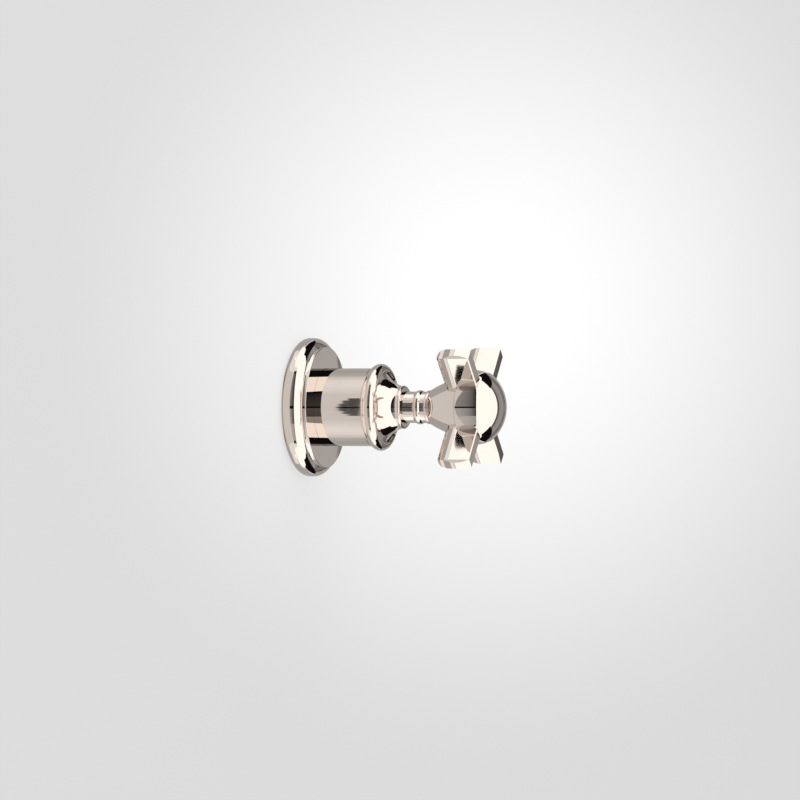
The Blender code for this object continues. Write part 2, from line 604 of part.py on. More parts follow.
def spindle():
    """Splined end, circlip groove, two seal grooves, thrust collar and a threaded tail."""
    seal_floor = SPINDLE_RADIUS - GAP - O_RING_CORD
    seal_half = O_RING_CORD / 2 + GAP
    clip_floor = SPINDLE_RADIUS - CIRCLIP_GROOVE_DEPTH
    profile = [(0, SPLINE_BACK), (SPINDLE_RADIUS, SPLINE_BACK)]
    profile += [(SPINDLE_RADIUS, CIRCLIP_FRONT + GAP), (clip_floor, CIRCLIP_FRONT + GAP)]
    profile += [(clip_floor, CIRCLIP_BACK - GAP), (SPINDLE_RADIUS, CIRCLIP_BACK - GAP)]
    for out in o_ring_outs().values():
        profile += [(SPINDLE_RADIUS, out + seal_half), (seal_floor, out + seal_half)]
        profile += [(seal_floor, out - seal_half), (SPINDLE_RADIUS, out - seal_half)]
    profile += [(SPINDLE_RADIUS, COLLAR_SEAT_FRONT), (THRUST_COLLAR_RADIUS, COLLAR_SEAT_FRONT)]
    profile += [(THRUST_COLLAR_RADIUS, COLLAR_SEAT_BACK), (TAIL_RADIUS, COLLAR_SEAT_BACK)]
    profile += [(TAIL_RADIUS, TAIL_END), (0, TAIL_END)]
    shaft = turned("spindle", profile, INNER_SIDES, HANDLE, BRASS)
    joined(shaft, prism("spline", spline_outline(0), SPLINE_BACK - 2 * PAST, SPINDLE_FRONT))
    cut(shaft, rod("screw_hole", SCREW_RADIUS + GAP, SCREW_SEAT - SCREW_LENGTH - PAST, SPINDLE_FRONT + PAST))


def spindle_seals():
    """The two seal rings in the spindle's grooves."""
    middle = SPINDLE_RADIUS - O_RING_CORD / 2
    for name, out in o_ring_outs().items():
        turned("spindle_o_ring_" + name, torus_profile(middle, out, O_RING_CORD), INNER_SIDES, HANDLE, RUBBER)


def thrust_washer():
    """The washer between the headwork's front and the circlip."""
    back = HEADWORK_FRONT + GAP
    front = back + THRUST_WASHER_THICKNESS
    bore = SPINDLE_RADIUS + GAP
    profile = [(bore, front), (THRUST_WASHER_RADIUS, front), (THRUST_WASHER_RADIUS, back), (bore, back)]
    turned("thrust_washer", profile, INNER_SIDES, HANDLE, STEEL)


def circlip():
    """An open ring in the spindle's groove."""
    inner = SPINDLE_RADIUS - CIRCLIP_GROOVE_DEPTH + GAP
    half = CIRCLIP_OPENING / 2
    turns = [half + (2 * math.pi - 2 * half) * i / 24 for i in range(25)]
    outline = [(CIRCLIP_RADIUS * math.cos(a), CIRCLIP_RADIUS * math.sin(a)) for a in turns]
    outline += [(inner * math.cos(a), inner * math.sin(a)) for a in reversed(turns)]
    prism("circlip", outline, CIRCLIP_BACK, CIRCLIP_FRONT, HANDLE, STEEL)


def headwork_body():
    """Long tube, hexagon, sealing flange and threaded nose, bored six-sided for the carrier."""
    chest = HEX_FRONT + HEADWORK_CHEST_LENGTH
    taper = chest + HEADWORK_CHEST_RADIUS - HEADWORK_TUBE_RADIUS
    profile = [(0, HEADWORK_FRONT), (HEADWORK_TUBE_RADIUS - EDGE_BREAK, HEADWORK_FRONT)]
    profile += [(HEADWORK_TUBE_RADIUS, HEADWORK_FRONT - EDGE_BREAK), (HEADWORK_TUBE_RADIUS, taper)]
    profile += [(HEADWORK_CHEST_RADIUS, chest), (HEADWORK_CHEST_RADIUS, HEX_BACK)]
    profile += [(HEADWORK_FLANGE_RADIUS, HEX_BACK), (HEADWORK_FLANGE_RADIUS, HEADWORK_FLANGE_BACK)]
    profile += [(HEADWORK_NOSE_RADIUS, HEADWORK_FLANGE_BACK), (HEADWORK_NOSE_RADIUS, HEADWORK_NOSE)]
    profile += [(0, HEADWORK_NOSE)]
    body = turned("headwork_body", profile, INNER_SIDES, FIXED, BRASS)
    joined(body, prism("wrench_hex", hexagon(HEADWORK_HEX_FLATS), HEX_BACK - PAST / 2, HEX_FRONT))
    way = hexagon(CARRIER_FLATS + 2 * GAP)
    cut(body, prism("carrier_way", way, HEADWORK_NOSE - PAST, COLLAR_SEAT_FRONT + GAP))
    cut(body, rod("spindle_way", SPINDLE_RADIUS + GAP, COLLAR_SEAT_FRONT - PAST, HEADWORK_FRONT + PAST))


def headwork_washer():
    """The flat washer between the headwork's flange and the boss."""
    back = BOSS_OUT + GAP
    front = back + HEADWORK_WASHER_THICKNESS
    bore = HEADWORK_NOSE_RADIUS + GAP
    outer = HEADWORK_FLANGE_RADIUS
    profile = [(bore, front), (outer, front), (outer, back), (bore, back)]
    turned("headwork_washer", profile, INNER_SIDES, FIXED, FIBRE)


def valve_carrier():
    """A six-sided slide bored for the spindle's thread, with a plate and a stud for the washer."""
    profile = [(0, PLATE_FRONT), (PLATE_RADIUS, PLATE_FRONT), (PLATE_RADIUS, PLATE_BACK)]
    profile += [(STUD_RADIUS, PLATE_BACK), (STUD_RADIUS, STUD_END), (0, STUD_END)]
    plate = turned("valve_carrier", profile, INNER_SIDES, CARRIER, BRASS)
    joined(plate, prism("slide", hexagon(CARRIER_FLATS), PLATE_BACK + PAST, CARRIER_FRONT))
    cut(plate, rod("thread_bore", TAIL_RADIUS + GAP, CARRIER_BORE_END, CARRIER_FRONT + PAST))


def seat_washer():
    """The rubber washer that closes the seat."""
    bore = STUD_RADIUS + GAP
    front = WASHER_BACK + SEAT_WASHER_THICKNESS
    edge = SEAT_WASHER_RADIUS - EDGE_BREAK
    profile = [(bore, front), (SEAT_WASHER_RADIUS, front), (SEAT_WASHER_RADIUS, WASHER_BACK + EDGE_BREAK)]
    profile += [(edge, WASHER_BACK), (bore, WASHER_BACK)]
    turned("seat_washer", profile, INNER_SIDES, CARRIER, RUBBER)


def washer_nut():
    """The small nut under the seat washer."""
    nut = prism("washer_nut", hexagon(WASHER_NUT_FLATS), NUT_FRONT - WASHER_NUT_LENGTH, NUT_FRONT, CARRIER, BRASS)
    cut(nut, rod("nut_bore", STUD_RADIUS + GAP, NUT_FRONT - 2 * WASHER_NUT_LENGTH, NUT_FRONT + PAST))


def slanted_rod(name, radius, low, high):
    """A round cutting bar from one point to another."""
    way = high - low
    bar = rod(name, radius, 0, way.length)
    return moved(bar, Matrix.Translation(low) @ way.to_track_quat("Z", "Y").to_matrix().to_4x4())


def valve_body():
    """A casting: upright run with wrench flats, bulb and boss, cored for the seat and its two passages."""
    end = RUN_HALF_LENGTH
    run_end = end - RUN_HEX_LENGTH
    profile = [(0, end - PAST), (RUN_RADIUS, end - PAST), (RUN_RADIUS, run_end)]
    profile += [(BULB_RADIUS, BULB_HALF_LENGTH), (BULB_RADIUS, -BULB_HALF_LENGTH)]
    profile += [(RUN_RADIUS, -run_end), (RUN_RADIUS, PAST - end), (0, PAST - end)]
    body = turned("valve_body", profile, INNER_SIDES, FIXED, BRASS)
    along_run(body)
    boss = [(0, BOSS_OUT), (BOSS_RADIUS, BOSS_OUT), (BOSS_RADIUS, RUN_OUT), (0, RUN_OUT)]
    joined(body, turned("boss", boss))
    for name, low in (("low_hex", -end), ("high_hex", run_end)):
        joined(body, along_run(prism(name, hexagon(RUN_HEX_FLATS), low, low + RUN_HEX_LENGTH)))
    bore = HEADWORK_NOSE_RADIUS + GAP
    floor = SEAT_OUT - SEAT_RIM_HEIGHT
    rim = SEAT_HOLE_RADIUS + SEAT_RIM_WIDTH
    chamber = [(0, BOSS_OUT + PAST), (bore, BOSS_OUT + PAST), (bore, floor), (rim, floor)]
    chamber += [(rim, SEAT_OUT), (SEAT_HOLE_RADIUS, SEAT_OUT), (SEAT_HOLE_RADIUS, INLET_OUT), (0, INLET_OUT)]
    cut(body, turned("chamber", chamber))
    floor_at = end - SOCKET_DEPTH
    mouth = SOCKET_RADIUS + SOCKET_CHAMFER
    socket = [(0, end + PAST), (mouth, end + PAST), (mouth, end), (SOCKET_RADIUS, end - SOCKET_CHAMFER)]
    socket += [(SOCKET_RADIUS, floor_at), (0, floor_at)]
    upper = along_run(turned("upper_socket", socket))
    lower = moved(along_run(turned("lower_socket", socket)), Matrix.Translation((0, 0, -RUN_OUT)))
    moved(lower, Matrix.Translation((0, 0, RUN_OUT)) @ Matrix.Rotation(math.pi, 4, "X"))
    inlet = along_run(rod("inlet", INLET_RADIUS, -floor_at - PAST, SEAT_HOLE_RADIUS + 2 * GAP))
    moved(inlet, Matrix.Translation((0, 0, INLET_OUT - RUN_OUT)))
    outlet = slanted_rod("outlet", OUTLET_RADIUS, OUTLET_LOW, OUTLET_HIGH)
    cut(body, upper, lower, inlet, outlet)


clear_scene()
PARTS = new_collection("concealed_stop_valve")
CUTTERS = new_collection("cutters")
CUTTERS.hide_render = True

NICKEL = finish_of("polished_nickel", (0.80, 0.72, 0.66), 0.06, 1.0)
BRASS = finish_of("brass", (0.78, 0.60, 0.30), 0.28, 1.0)
STEEL = finish_of("stainless_steel", (0.62, 0.61, 0.60), 0.25, 1.0)
RUBBER = finish_of("black_rubber", (0.02, 0.02, 0.02), 0.6, 0.0)
FIBRE = finish_of("red_fibre", (0.40, 0.09, 0.06), 0.8, 0.0)

FIXED = axis_empty("valve_axis")
HANDLE = axis_empty("handle_axis", FIXED)
CARRIER = axis_empty("carrier_axis", FIXED)

wall_flange()
flange_seals()
barrel_sleeve()
bell_cover()
mounting_sleeve()
neck_sleeve()
cross_handle()
dome_cap()
handle_screw()
spindle()
spindle_seals()
thrust_washer()
circlip()
headwork_body()
headwork_washer()
valve_carrier()
seat_washer()
washer_nut()
valve_body()
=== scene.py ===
"""Dresses the concealed stop valve: finer turned and cast pieces, their finishes, and a plain pale studio.

Turned pieces are drawn in millimetres as (radius, out) points, where out is the distance from the wall.
Each shape is made with Z pointing out of the wall and Y up, and is then laid along -Y of the world.
"""

import logging
import math
from collections.abc import Mapping, Sequence
from dataclasses import dataclass, field
from enum import Enum
from typing import Protocol

import bmesh
import bpy
from mathutils import Matrix, Vector


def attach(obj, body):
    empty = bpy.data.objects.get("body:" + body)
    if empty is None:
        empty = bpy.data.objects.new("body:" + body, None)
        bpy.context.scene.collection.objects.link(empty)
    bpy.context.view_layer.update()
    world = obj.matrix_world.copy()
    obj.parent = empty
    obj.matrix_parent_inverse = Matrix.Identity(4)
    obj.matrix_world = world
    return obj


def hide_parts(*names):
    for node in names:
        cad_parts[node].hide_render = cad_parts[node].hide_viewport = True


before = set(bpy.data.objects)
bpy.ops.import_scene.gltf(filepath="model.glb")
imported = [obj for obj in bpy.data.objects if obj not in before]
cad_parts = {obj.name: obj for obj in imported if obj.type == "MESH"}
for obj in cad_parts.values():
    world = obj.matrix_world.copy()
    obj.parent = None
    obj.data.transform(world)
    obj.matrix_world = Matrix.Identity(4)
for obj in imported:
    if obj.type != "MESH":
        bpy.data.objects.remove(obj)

log = logging.getLogger("stop_valve")

MM = 0.001
Point = tuple[float, float]
Profile = list[Point]
Triple = tuple[float, float, float]
Colour = Triple

# Lays the valve's axis along -Y of the world, with its up side up.
WALL_OUTWARD = Matrix.Rotation(math.pi / 2, 4, "X")
# Lays a prism's X along Y, its Y along Z and its height along X.
SIDE_ON = Matrix(((0, 0, 1, 0), (1, 0, 0, 0), (0, 1, 0, 0), (0, 0, 0, 1)))
# How many flats go round a turned piece.
SIDES = 160
# Points of a copied mesh that are nearer than this, in metres, become one.
WELD = 0.001 * MM
# Degrees between the grid lines of a studio panel.
PANEL_GRID = 4
# Where a Mix node keeps its factor, its two colours and its mixed colour.
MIX_SHARE, MIX_FIRST, MIX_SECOND, MIX_RESULT = 0, 6, 7, 2


class Part(Enum):
    """The bodies of the valve that finer pieces are made for."""

    FIXED = "fixed"
    HANDLE = "handle"


class Operation(Enum):
    """How one solid is combined with another."""

    JOIN = "UNION"
    CUT = "DIFFERENCE"
    KEEP_COMMON = "INTERSECT"


def rounded(centre: Point, radius: float, start: float, end: float, steps: int) -> Profile:
    """Draws a round edge.

    Args:
        centre: The middle of the round.
        radius: Its radius.
        start: The first angle in degrees, with 0 towards +radius and 90 towards +out.
        end: The last angle in degrees.
        steps: How many flats it has.

    Returns:
        The points of the round, both ends included.
    """
    angles = [math.radians(start + (end - start) * i / steps) for i in range(steps + 1)]
    return [(centre[0] + radius * math.cos(a), centre[1] + radius * math.sin(a)) for a in angles]


def swept(start: Point, pull: Point, end: Point, steps: int) -> Profile:
    """Draws an easy curve between two points.

    Args:
        start: Where it starts.
        pull: The point that it leans towards.
        end: Where it ends.
        steps: How many flats it has.

    Returns:
        The points of the curve, both ends included.
    """
    points = []
    for i in range(steps + 1):
        u = i / steps
        weights = ((1 - u) ** 2, 2 * u * (1 - u), u * u)
        radius = sum(w * p[0] for w, p in zip(weights, (start, pull, end)))
        out = sum(w * p[1] for w, p in zip(weights, (start, pull, end)))
        points.append((radius, out))
    return points


def stretch_between(points: Profile, high: float, low: float) -> Profile:
    """Takes the part of a falling profile between two levels.

    Args:
        points: The whole profile, from its front to its back.
        high: The front level.
        low: The back level.

    Returns:
        The points from high to low, with one on each level.
    """
    stretch = []
    for (radius, out), (next_radius, next_out) in zip(points, points[1:]):
        for level in (high, low):
            if out > level > next_out:
                share = (out - level) / (out - next_out)
                stretch.append((radius + share * (next_radius - radius), level))
        if high > next_out > low:
            stretch.append((next_radius, next_out))
    return stretch


class Field:
    """One socket of a shader, on which Python's operators build the shader's maths."""

    def __init__(self, bench: "Bench", socket: bpy.types.NodeSocket) -> None:
        """Wraps a socket of a node tree."""
        self.bench = bench
        self.socket = socket

    def _worked(self, operation: str, *values: "Field | float") -> "Field":
        """Adds a Math node for one operation."""
        made = self.bench.node("ShaderNodeMath", {"operation": operation}, dict(enumerate(values)))
        return self.bench.field(made)

    def __add__(self, other: "Field | float") -> "Field":
        """Adds two values."""
        return self._worked("ADD", self, other)

    __radd__ = __add__

    def __sub__(self, other: "Field | float") -> "Field":
        """Takes a value away."""
        return self._worked("SUBTRACT", self, other)

    def __rsub__(self, other: "Field | float") -> "Field":
        """Takes this value away from another."""
        return self._worked("SUBTRACT", other, self)

    def __mul__(self, other: "Field | float") -> "Field":
        """Multiplies two values."""
        return self._worked("MULTIPLY", self, other)

    __rmul__ = __mul__

    def __truediv__(self, other: "Field | float") -> "Field":
        """Divides by a value."""
        return self._worked("DIVIDE", self, other)

    def __rtruediv__(self, other: "Field | float") -> "Field":
        """Divides a value by this one."""
        return self._worked("DIVIDE", other, self)

    def __neg__(self) -> "Field":
        """Turns the sign round."""
        return self * -1.0

    def root(self) -> "Field":
        """The square root."""
        return self._worked("SQRT", self)

    def at_least(self, floor: float) -> "Field":
        """The value, or the floor where it is lower."""
        return self._worked("MAXIMUM", self, floor)

    def waved(self) -> "Field":
        """The sine of the value."""
        return self._worked("SINE", self)

    def angle_over(self, other: "Field") -> "Field":
        """The angle, in radians, whose tangent is this value over another."""
        return self._worked("ARCTAN2", self, other)

    def eased(self, low: float, high: float) -> "Field":
        """A smooth step.

        Args:
            low: The value that gives 0.
            high: The value that gives 1.

        Returns:
            The stepped value.
        """
        settings = {"interpolation_type": "SMOOTHSTEP"}
        sockets = {"Value": self, "From Min": low, "From Max": high}
        return self.bench.field(self.bench.node("ShaderNodeMapRange", settings, sockets))


class Bench:
    """A node tree that a finish is put together on."""

    def __init__(self, owner: bpy.types.Material | bpy.types.World) -> None:
        """Clears the owner's node tree and keeps it.

        Args:
            owner: The material or world that the tree belongs to.
        """
        owner.use_nodes = True
        self.owner = owner
        self.tree = owner.node_tree
        self.tree.nodes.clear()

    def node(
        self,
        kind: str,
        settings: Mapping[str, object] | None = None,
        sockets: Mapping[str | int, object] | None = None,
    ) -> bpy.types.Node:
        """Adds a node, sets it and fills or links its sockets.

        Args:
            kind: The node's type.
            settings: Its own settings, set first.
            sockets: Values, fields or sockets by the input's name or place.

        Returns:
            The new node.
        """
        made = self.tree.nodes.new(kind)
        for name, value in (settings or {}).items():
            setattr(made, name, value)
        for name, value in (sockets or {}).items():
            if isinstance(value, Field):
                self.tree.links.new(value.socket, made.inputs[name])
            elif isinstance(value, bpy.types.NodeSocket):
                self.tree.links.new(value, made.inputs[name])
            else:
                made.inputs[name].default_value = value
        return made

    def field(self, node: bpy.types.Node, name: str | int = 0) -> Field:
        """The output of a node as a field."""
        return Field(self, node.outputs[name])

    def place(self) -> Field:
        """Where the shaded point is, in metres, in the piece's own space."""
        return self.field(self.node("ShaderNodeTexCoord"), "Object")

    def axes(self) -> tuple[Field, Field, Field]:
        """The three coordinates of the shaded point, each in metres."""
        split = self.node("ShaderNodeSeparateXYZ", None, {0: self.place()})
        return self.field(split, 0), self.field(split, 1), self.field(split, 2)

    def mottle(self, scale: float, detail: float, stretch: Triple = (1, 1, 1)) -> Field:
        """A soft random pattern from 0 to 1.

        Args:
            scale: How many features there are in a metre.
            detail: How much finer detail it carries.
            stretch: How much denser it is along each axis.

        Returns:
            The pattern's value.
        """
        laid = self.node("ShaderNodeMapping", None, {"Vector": self.place(), "Scale": stretch})
        sockets = {"Vector": self.field(laid), "Scale": scale, "Detail": detail}
        return self.field(self.node("ShaderNodeTexNoise", None, sockets))

    def blend(self, share: Field | float, first: object, second: object) -> Field:
        """Mixes two colours.

        Args:
            share: How much of the second shows.
            first: A colour or a field.
            second: A colour or a field.

        Returns:
            The mixed colour.
        """
        sockets = {MIX_SHARE: share, MIX_FIRST: self._colour(first), MIX_SECOND: self._colour(second)}
        return self.field(self.node("ShaderNodeMix", {"data_type": "RGBA"}, sockets), MIX_RESULT)

    @staticmethod
    def _colour(value: object) -> object:
        """A colour with its alpha, or the field as it is."""
        return value if isinstance(value, Field) else (*value, 1)

    def raised(self, height: Field, strength: float, distance: float) -> Field:
        """A small relief for the Normal socket."""
        sockets = {"Strength": strength, "Distance": distance, "Height": height}
        return self.field(self.node("ShaderNodeBump", None, sockets))

    def ended(self, shader: bpy.types.Node) -> bpy.types.Material:
        """Ends the tree in a shader, and gives back its material."""
        self.node("ShaderNodeOutputMaterial", None, {"Surface": shader.outputs[0]})
        return self.owner

    def surface(self, sockets: Mapping[str | int, object]) -> bpy.types.Material:
        """Ends the tree in a Principled surface, and gives back its material."""
        return self.ended(self.node("ShaderNodeBsdfPrincipled", None, sockets))


class Finish(Protocol):
    """What each finish of the valve gives."""

    slot: str

    def made(self) -> bpy.types.Material:
        """The material itself."""


@dataclass(frozen=True)
class PolishedNickel:
    """Warm nickel plate, buffed to a mirror, with faint hairlines and a few dull touches."""

    slot: str = "polished_nickel"
    colour: Colour = (0.80, 0.712, 0.645)
    shaded: Colour = (0.76, 0.672, 0.60)
    polish: float = 0.012
    touched: float = 0.03

    def made(self) -> bpy.types.Material:
        """Makes the material.

        Returns:
            The material.
        """
        bench = Bench(bpy.data.materials.new("nickel_plate"))
        touches = bench.mottle(scale=70, detail=4).eased(0.45, 0.75)
        hairlines = bench.mottle(scale=260, detail=2, stretch=(1, 14, 1))
        grain = bench.mottle(scale=1800, detail=2)
        roughness = self.polish + touches * self.touched * 0.5 + hairlines * self.touched * 0.25
        return bench.surface({
            "Base Color": bench.blend(touches * 0.6 + grain * 0.2, self.colour, self.shaded),
            "Metallic": 1.0,
            "Roughness": roughness,
            "Normal": bench.raised(hairlines, strength=0.0003, distance=0.0003),
        })


@dataclass(frozen=True)
class TurnedBrass:
    """Brass from the lathe, with fine tool rings and a little tarnish."""

    slot: str = "brass"
    colour: Colour = (0.80, 0.62, 0.31)
    tarnish: Colour = (0.58, 0.41, 0.19)

    def made(self) -> bpy.types.Material:
        """Makes the material.

        Returns:
            The material.
        """
        bench = Bench(bpy.data.materials.new("turned_brass"))
        across, along, up = bench.axes()
        radius = (across * across + up * up).root()
        rings = ((along * 9000 + radius * 7000).waved() + 1) * 0.5
        stain = bench.mottle(scale=55, detail=5).eased(0.40, 0.72)
        return bench.surface({
            "Base Color": bench.blend(stain * 0.75, self.colour, self.tarnish),
            "Metallic": 1.0,
            "Roughness": 0.20 + stain * 0.22 + rings * 0.05,
            "Normal": bench.raised(rings, strength=0.12, distance=0.00012),
        })


@dataclass(frozen=True)
class CastBrass:
    """Brass as it comes from sand, grainy and uneven, with dull hollows."""

    slot: str = "brass"
    colour: Colour = (0.74, 0.57, 0.29)
    dull: Colour = (0.46, 0.33, 0.16)

    def made(self) -> bpy.types.Material:
        """Makes the material.

        Returns:
            The material.
        """
        bench = Bench(bpy.data.materials.new("cast_brass"))
        sand = bench.mottle(scale=1500, detail=3)
        lumps = bench.mottle(scale=260, detail=3)
        stain = bench.mottle(scale=45, detail=6).eased(0.38, 0.70)
        return bench.surface({
            "Base Color": bench.blend(stain * 0.6 + sand * 0.3, self.colour, self.dull),
            "Metallic": 1.0,
            "Roughness": 0.36 + stain * 0.18 + sand * 0.12,
            "Normal": bench.raised(sand * 0.6 + lumps * 0.4, strength=0.55, distance=0.0004),
        })


@dataclass(frozen=True)
class BrightSteel:
    """Stainless steel with a fine grain."""

    slot: str = "stainless_steel"
    colour: Colour = (0.62, 0.61, 0.60)
    shaded: Colour = (0.50, 0.49, 0.48)

    def made(self) -> bpy.types.Material:
        """Makes the material.

        Returns:
            The material.
        """
        bench = Bench(bpy.data.materials.new("bright_steel"))
        grain = bench.mottle(scale=700, detail=3, stretch=(6, 1, 6))
        return bench.surface({
            "Base Color": bench.blend(grain, self.colour, self.shaded),
            "Metallic": 1.0,
            "Roughness": 0.20 + grain * 0.16,
            "Normal": bench.raised(grain, strength=0.10, distance=0.0001),
        })


@dataclass(frozen=True)
class PlainRubber:
    """Black rubber with a trace of grey bloom, or red fibre, by its colours."""

    name: str = "seal_rubber"
    slot: str = "black_rubber"
    colour: Colour = (0.02, 0.02, 0.02)
    bloom: Colour = (0.055, 0.055, 0.052)
    roughness: float = 0.55

    def made(self) -> bpy.types.Material:
        """Makes the material.

        Returns:
            The material.
        """
        bench = Bench(bpy.data.materials.new(self.name))
        cloud = bench.mottle(scale=120, detail=5).eased(0.35, 0.75)
        grain = bench.mottle(scale=2600, detail=2)
        return bench.surface({
            "Base Color": bench.blend(cloud * 0.6 + grain * 0.2, self.colour, self.bloom),
            "Roughness": self.roughness + cloud * 0.15 + grain * 0.1,
            "Normal": bench.raised(grain, strength=0.25, distance=0.00015),
        })


class Stock:
    """The finishes, each made once."""

    def __init__(self) -> None:
        """Makes every finish."""
        self.nickel = PolishedNickel()
        self.turned = TurnedBrass()
        self.cast = CastBrass()
        self.steel = BrightSteel()
        self.rubber = PlainRubber()
        red = {"colour": (0.40, 0.09, 0.06), "bloom": (0.30, 0.075, 0.05), "roughness": 0.7}
        self.fibre = PlainRubber("sheet_fibre", "red_fibre", **red)
        finishes = (self.nickel, self.turned, self.cast, self.steel, self.rubber, self.fibre)
        self._materials = {finish: finish.made() for finish in finishes}

    def material(self, finish: Finish) -> bpy.types.Material:
        """The material of one finish."""
        return self._materials[finish]


STOCK = Stock()


def mesh_from(name: str, shape: bmesh.types.BMesh) -> bpy.types.Mesh:
    """Turns a bmesh into a mesh.

    Args:
        name: The mesh's name.
        shape: The bmesh, which is used up.

    Returns:
        The mesh.
    """
    mesh = bpy.data.meshes.new(name)
    shape.to_mesh(mesh)
    shape.free()
    return mesh


def shown(mesh: bpy.types.Mesh) -> bpy.types.Object:
    """Puts a mesh into the scene under its own name.

    Args:
        mesh: The mesh.

    Returns:
        The new object.
    """
    obj = bpy.data.objects.new(mesh.name, mesh)
    bpy.context.scene.collection.objects.link(obj)
    return obj


def staged(mesh: bpy.types.Mesh, material: bpy.types.Material) -> bpy.types.Object:
    """Puts a mesh into the studio.

    Args:
        mesh: The mesh.
        material: Its material.

    Returns:
        The new object.
    """
    mesh.materials.append(material)
    obj = shown(mesh)
    return obj


class Shape:
    """A solid, drawn in millimetres on the valve's axis, or copied in metres where it stands."""

    def __init__(self, mesh: bpy.types.Mesh) -> None:
        """Puts a mesh into the scene."""
        self.obj = shown(mesh)

    @classmethod
    def turned(cls, name: str, profile: Profile, sides: int = SIDES) -> "Shape":
        """Turns a profile round the axis.

        Args:
            name: The solid's name.
            profile: Points down the outer side and back up the bore, or from axis to axis.
            sides: How many flats go round.

        Returns:
            The turned solid.
        """
        shape = bmesh.new()
        rings = []
        for radius, out in profile:
            turns = [2 * math.pi * i / sides for i in range(sides if radius else 1)]
            points = [(radius * math.cos(a), radius * math.sin(a), out) for a in turns]
            rings.append([shape.verts.new(point) for point in points])
        pairs = list(zip(rings, rings[1:]))
        if profile[0][0] or profile[-1][0]:
            pairs.append((rings[-1], rings[0]))
        for upper, lower in pairs:
            for i in range(sides):
                j = (i + 1) % sides
                corners = [upper[i % len(upper)], upper[j % len(upper)]]
                corners += [lower[j % len(lower)], lower[i % len(lower)]]
                shape.faces.new(list(dict.fromkeys(corners)))
        return cls._from_bmesh(name, shape)

    @classmethod
    def prism(cls, name: str, outline: Profile, low: float, high: float) -> "Shape":
        """Draws a flat outline out along the axis.

        Args:
            name: The solid's name.
            outline: Its corners in X and Y.
            low: Where it starts.
            high: Where it ends.

        Returns:
            The prism.
        """
        shape = bmesh.new()
        base = shape.faces.new([shape.verts.new((x, y, low)) for x, y in outline])
        raised = bmesh.ops.extrude_face_region(shape, geom=[base])["geom"]
        tops = [v for v in raised if isinstance(v, bmesh.types.BMVert)]
        bmesh.ops.translate(shape, vec=(0, 0, high - low), verts=tops)
        return cls._from_bmesh(name, shape)

    @classmethod
    def copied(cls, name: str, node: str) -> "Shape":
        """Copies a node of the valve, where it stands.

        Args:
            name: The solid's name.
            node: The node's name.

        Returns:
            The copy.
        """
        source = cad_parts[node]
        shape = bmesh.new()
        shape.from_mesh(source.data)
        shape.transform(source.matrix_world)
        bmesh.ops.remove_doubles(shape, verts=shape.verts, dist=WELD)
        return cls._from_bmesh(name, shape)

    @classmethod
    def _from_bmesh(cls, name: str, shape: bmesh.types.BMesh) -> "Shape":
        """Closes a bmesh into a solid."""
        bmesh.ops.recalc_face_normals(shape, faces=shape.faces)
        return cls(mesh_from(name, shape))

    def moved(self, matrix: Matrix) -> "Shape":
        """Moves the solid within its own mesh."""
        self.obj.data.transform(matrix)
        return self

    def _baked(self) -> "Shape":
        """Swaps the mesh for what its modifiers make of it.

        Returns:
            This solid.
        """
        graph = bpy.context.evaluated_depsgraph_get()
        graph.update()
        mesh = bpy.data.meshes.new_from_object(self.obj.evaluated_get(graph))
        self.obj.modifiers.clear()
        self.obj.data = mesh
        return self

    def combined(self, operation: Operation, *tools: "Shape") -> "Shape":
        """Joins, cuts or trims with other solids, which are used up.

        Args:
            operation: What is done.
            tools: The other solids.

        Returns:
            This solid.
        """
        for tool in tools:
            step = self.obj.modifiers.new("step", "BOOLEAN")
            step.operation = operation.value
            step.object = tool.obj
            step.solver = "EXACT"
            self._baked()
            bpy.data.objects.remove(tool.obj)
        return self

    def eased_edges(self, width: float, steps: int, over: float) -> "Shape":
        """Rounds the edges that are sharper than an angle.

        Args:
            width: How wide the round is.
            steps: How many flats it has.
            over: The angle in degrees.

        Returns:
            This solid.
        """
        step = self.obj.modifiers.new("edges", "BEVEL")
        step.width = width
        step.segments = steps
        step.limit_method = "ANGLE"
        step.angle_limit = math.radians(over)
        step.use_clamp_overlap = True
        return self._baked()

    def fitted(self, part: Part, finish: Finish, node: str, crisp: float = 32) -> str:
        """Lays the solid on the valve, dresses it and sets it in place of a node.

        Args:
            part: The body that it moves with.
            finish: Its finish.
            node: The node that it stands for.
            crisp: Edges sharper than this angle in degrees stay crisp.

        Returns:
            The finished piece's name.
        """
        self.obj.data.transform(WALL_OUTWARD @ Matrix.Scale(MM, 4))
        return self.finished(part, finish, node, crisp)

    def finished(self, part: Part, finish: Finish, node: str, crisp: float) -> str:
        """Dresses a solid that is already in place, and sets it in place of a node.

        Args:
            part: The body that it moves with.
            finish: Its finish.
            node: The node that it stands for.
            crisp: Edges sharper than this angle in degrees stay crisp.

        Returns:
            The finished piece's name.
        """
        mesh = self.obj.data
        mesh.materials.clear()
        mesh.materials.append(STOCK.material(finish))
        mesh.shade_smooth()
        mesh.set_sharp_from_angle(angle=math.radians(crisp))
        flats = self.obj.modifiers.new("flats", "WEIGHTED_NORMAL")
        flats.keep_sharp = True
        self._baked()
        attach(self.obj, part.value)
        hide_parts(node)
        return self.obj.name


def dressed(finish: Finish, *nodes: str) -> list[str]:
    """Gives nodes of the valve their finish.

    Args:
        finish: The finish.
        nodes: The nodes' names.

    Returns:
        The names of the dressed pieces.
    """
    for node in nodes:
        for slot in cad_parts[node].material_slots:
            slot.material = STOCK.material(finish)
    return list(nodes)


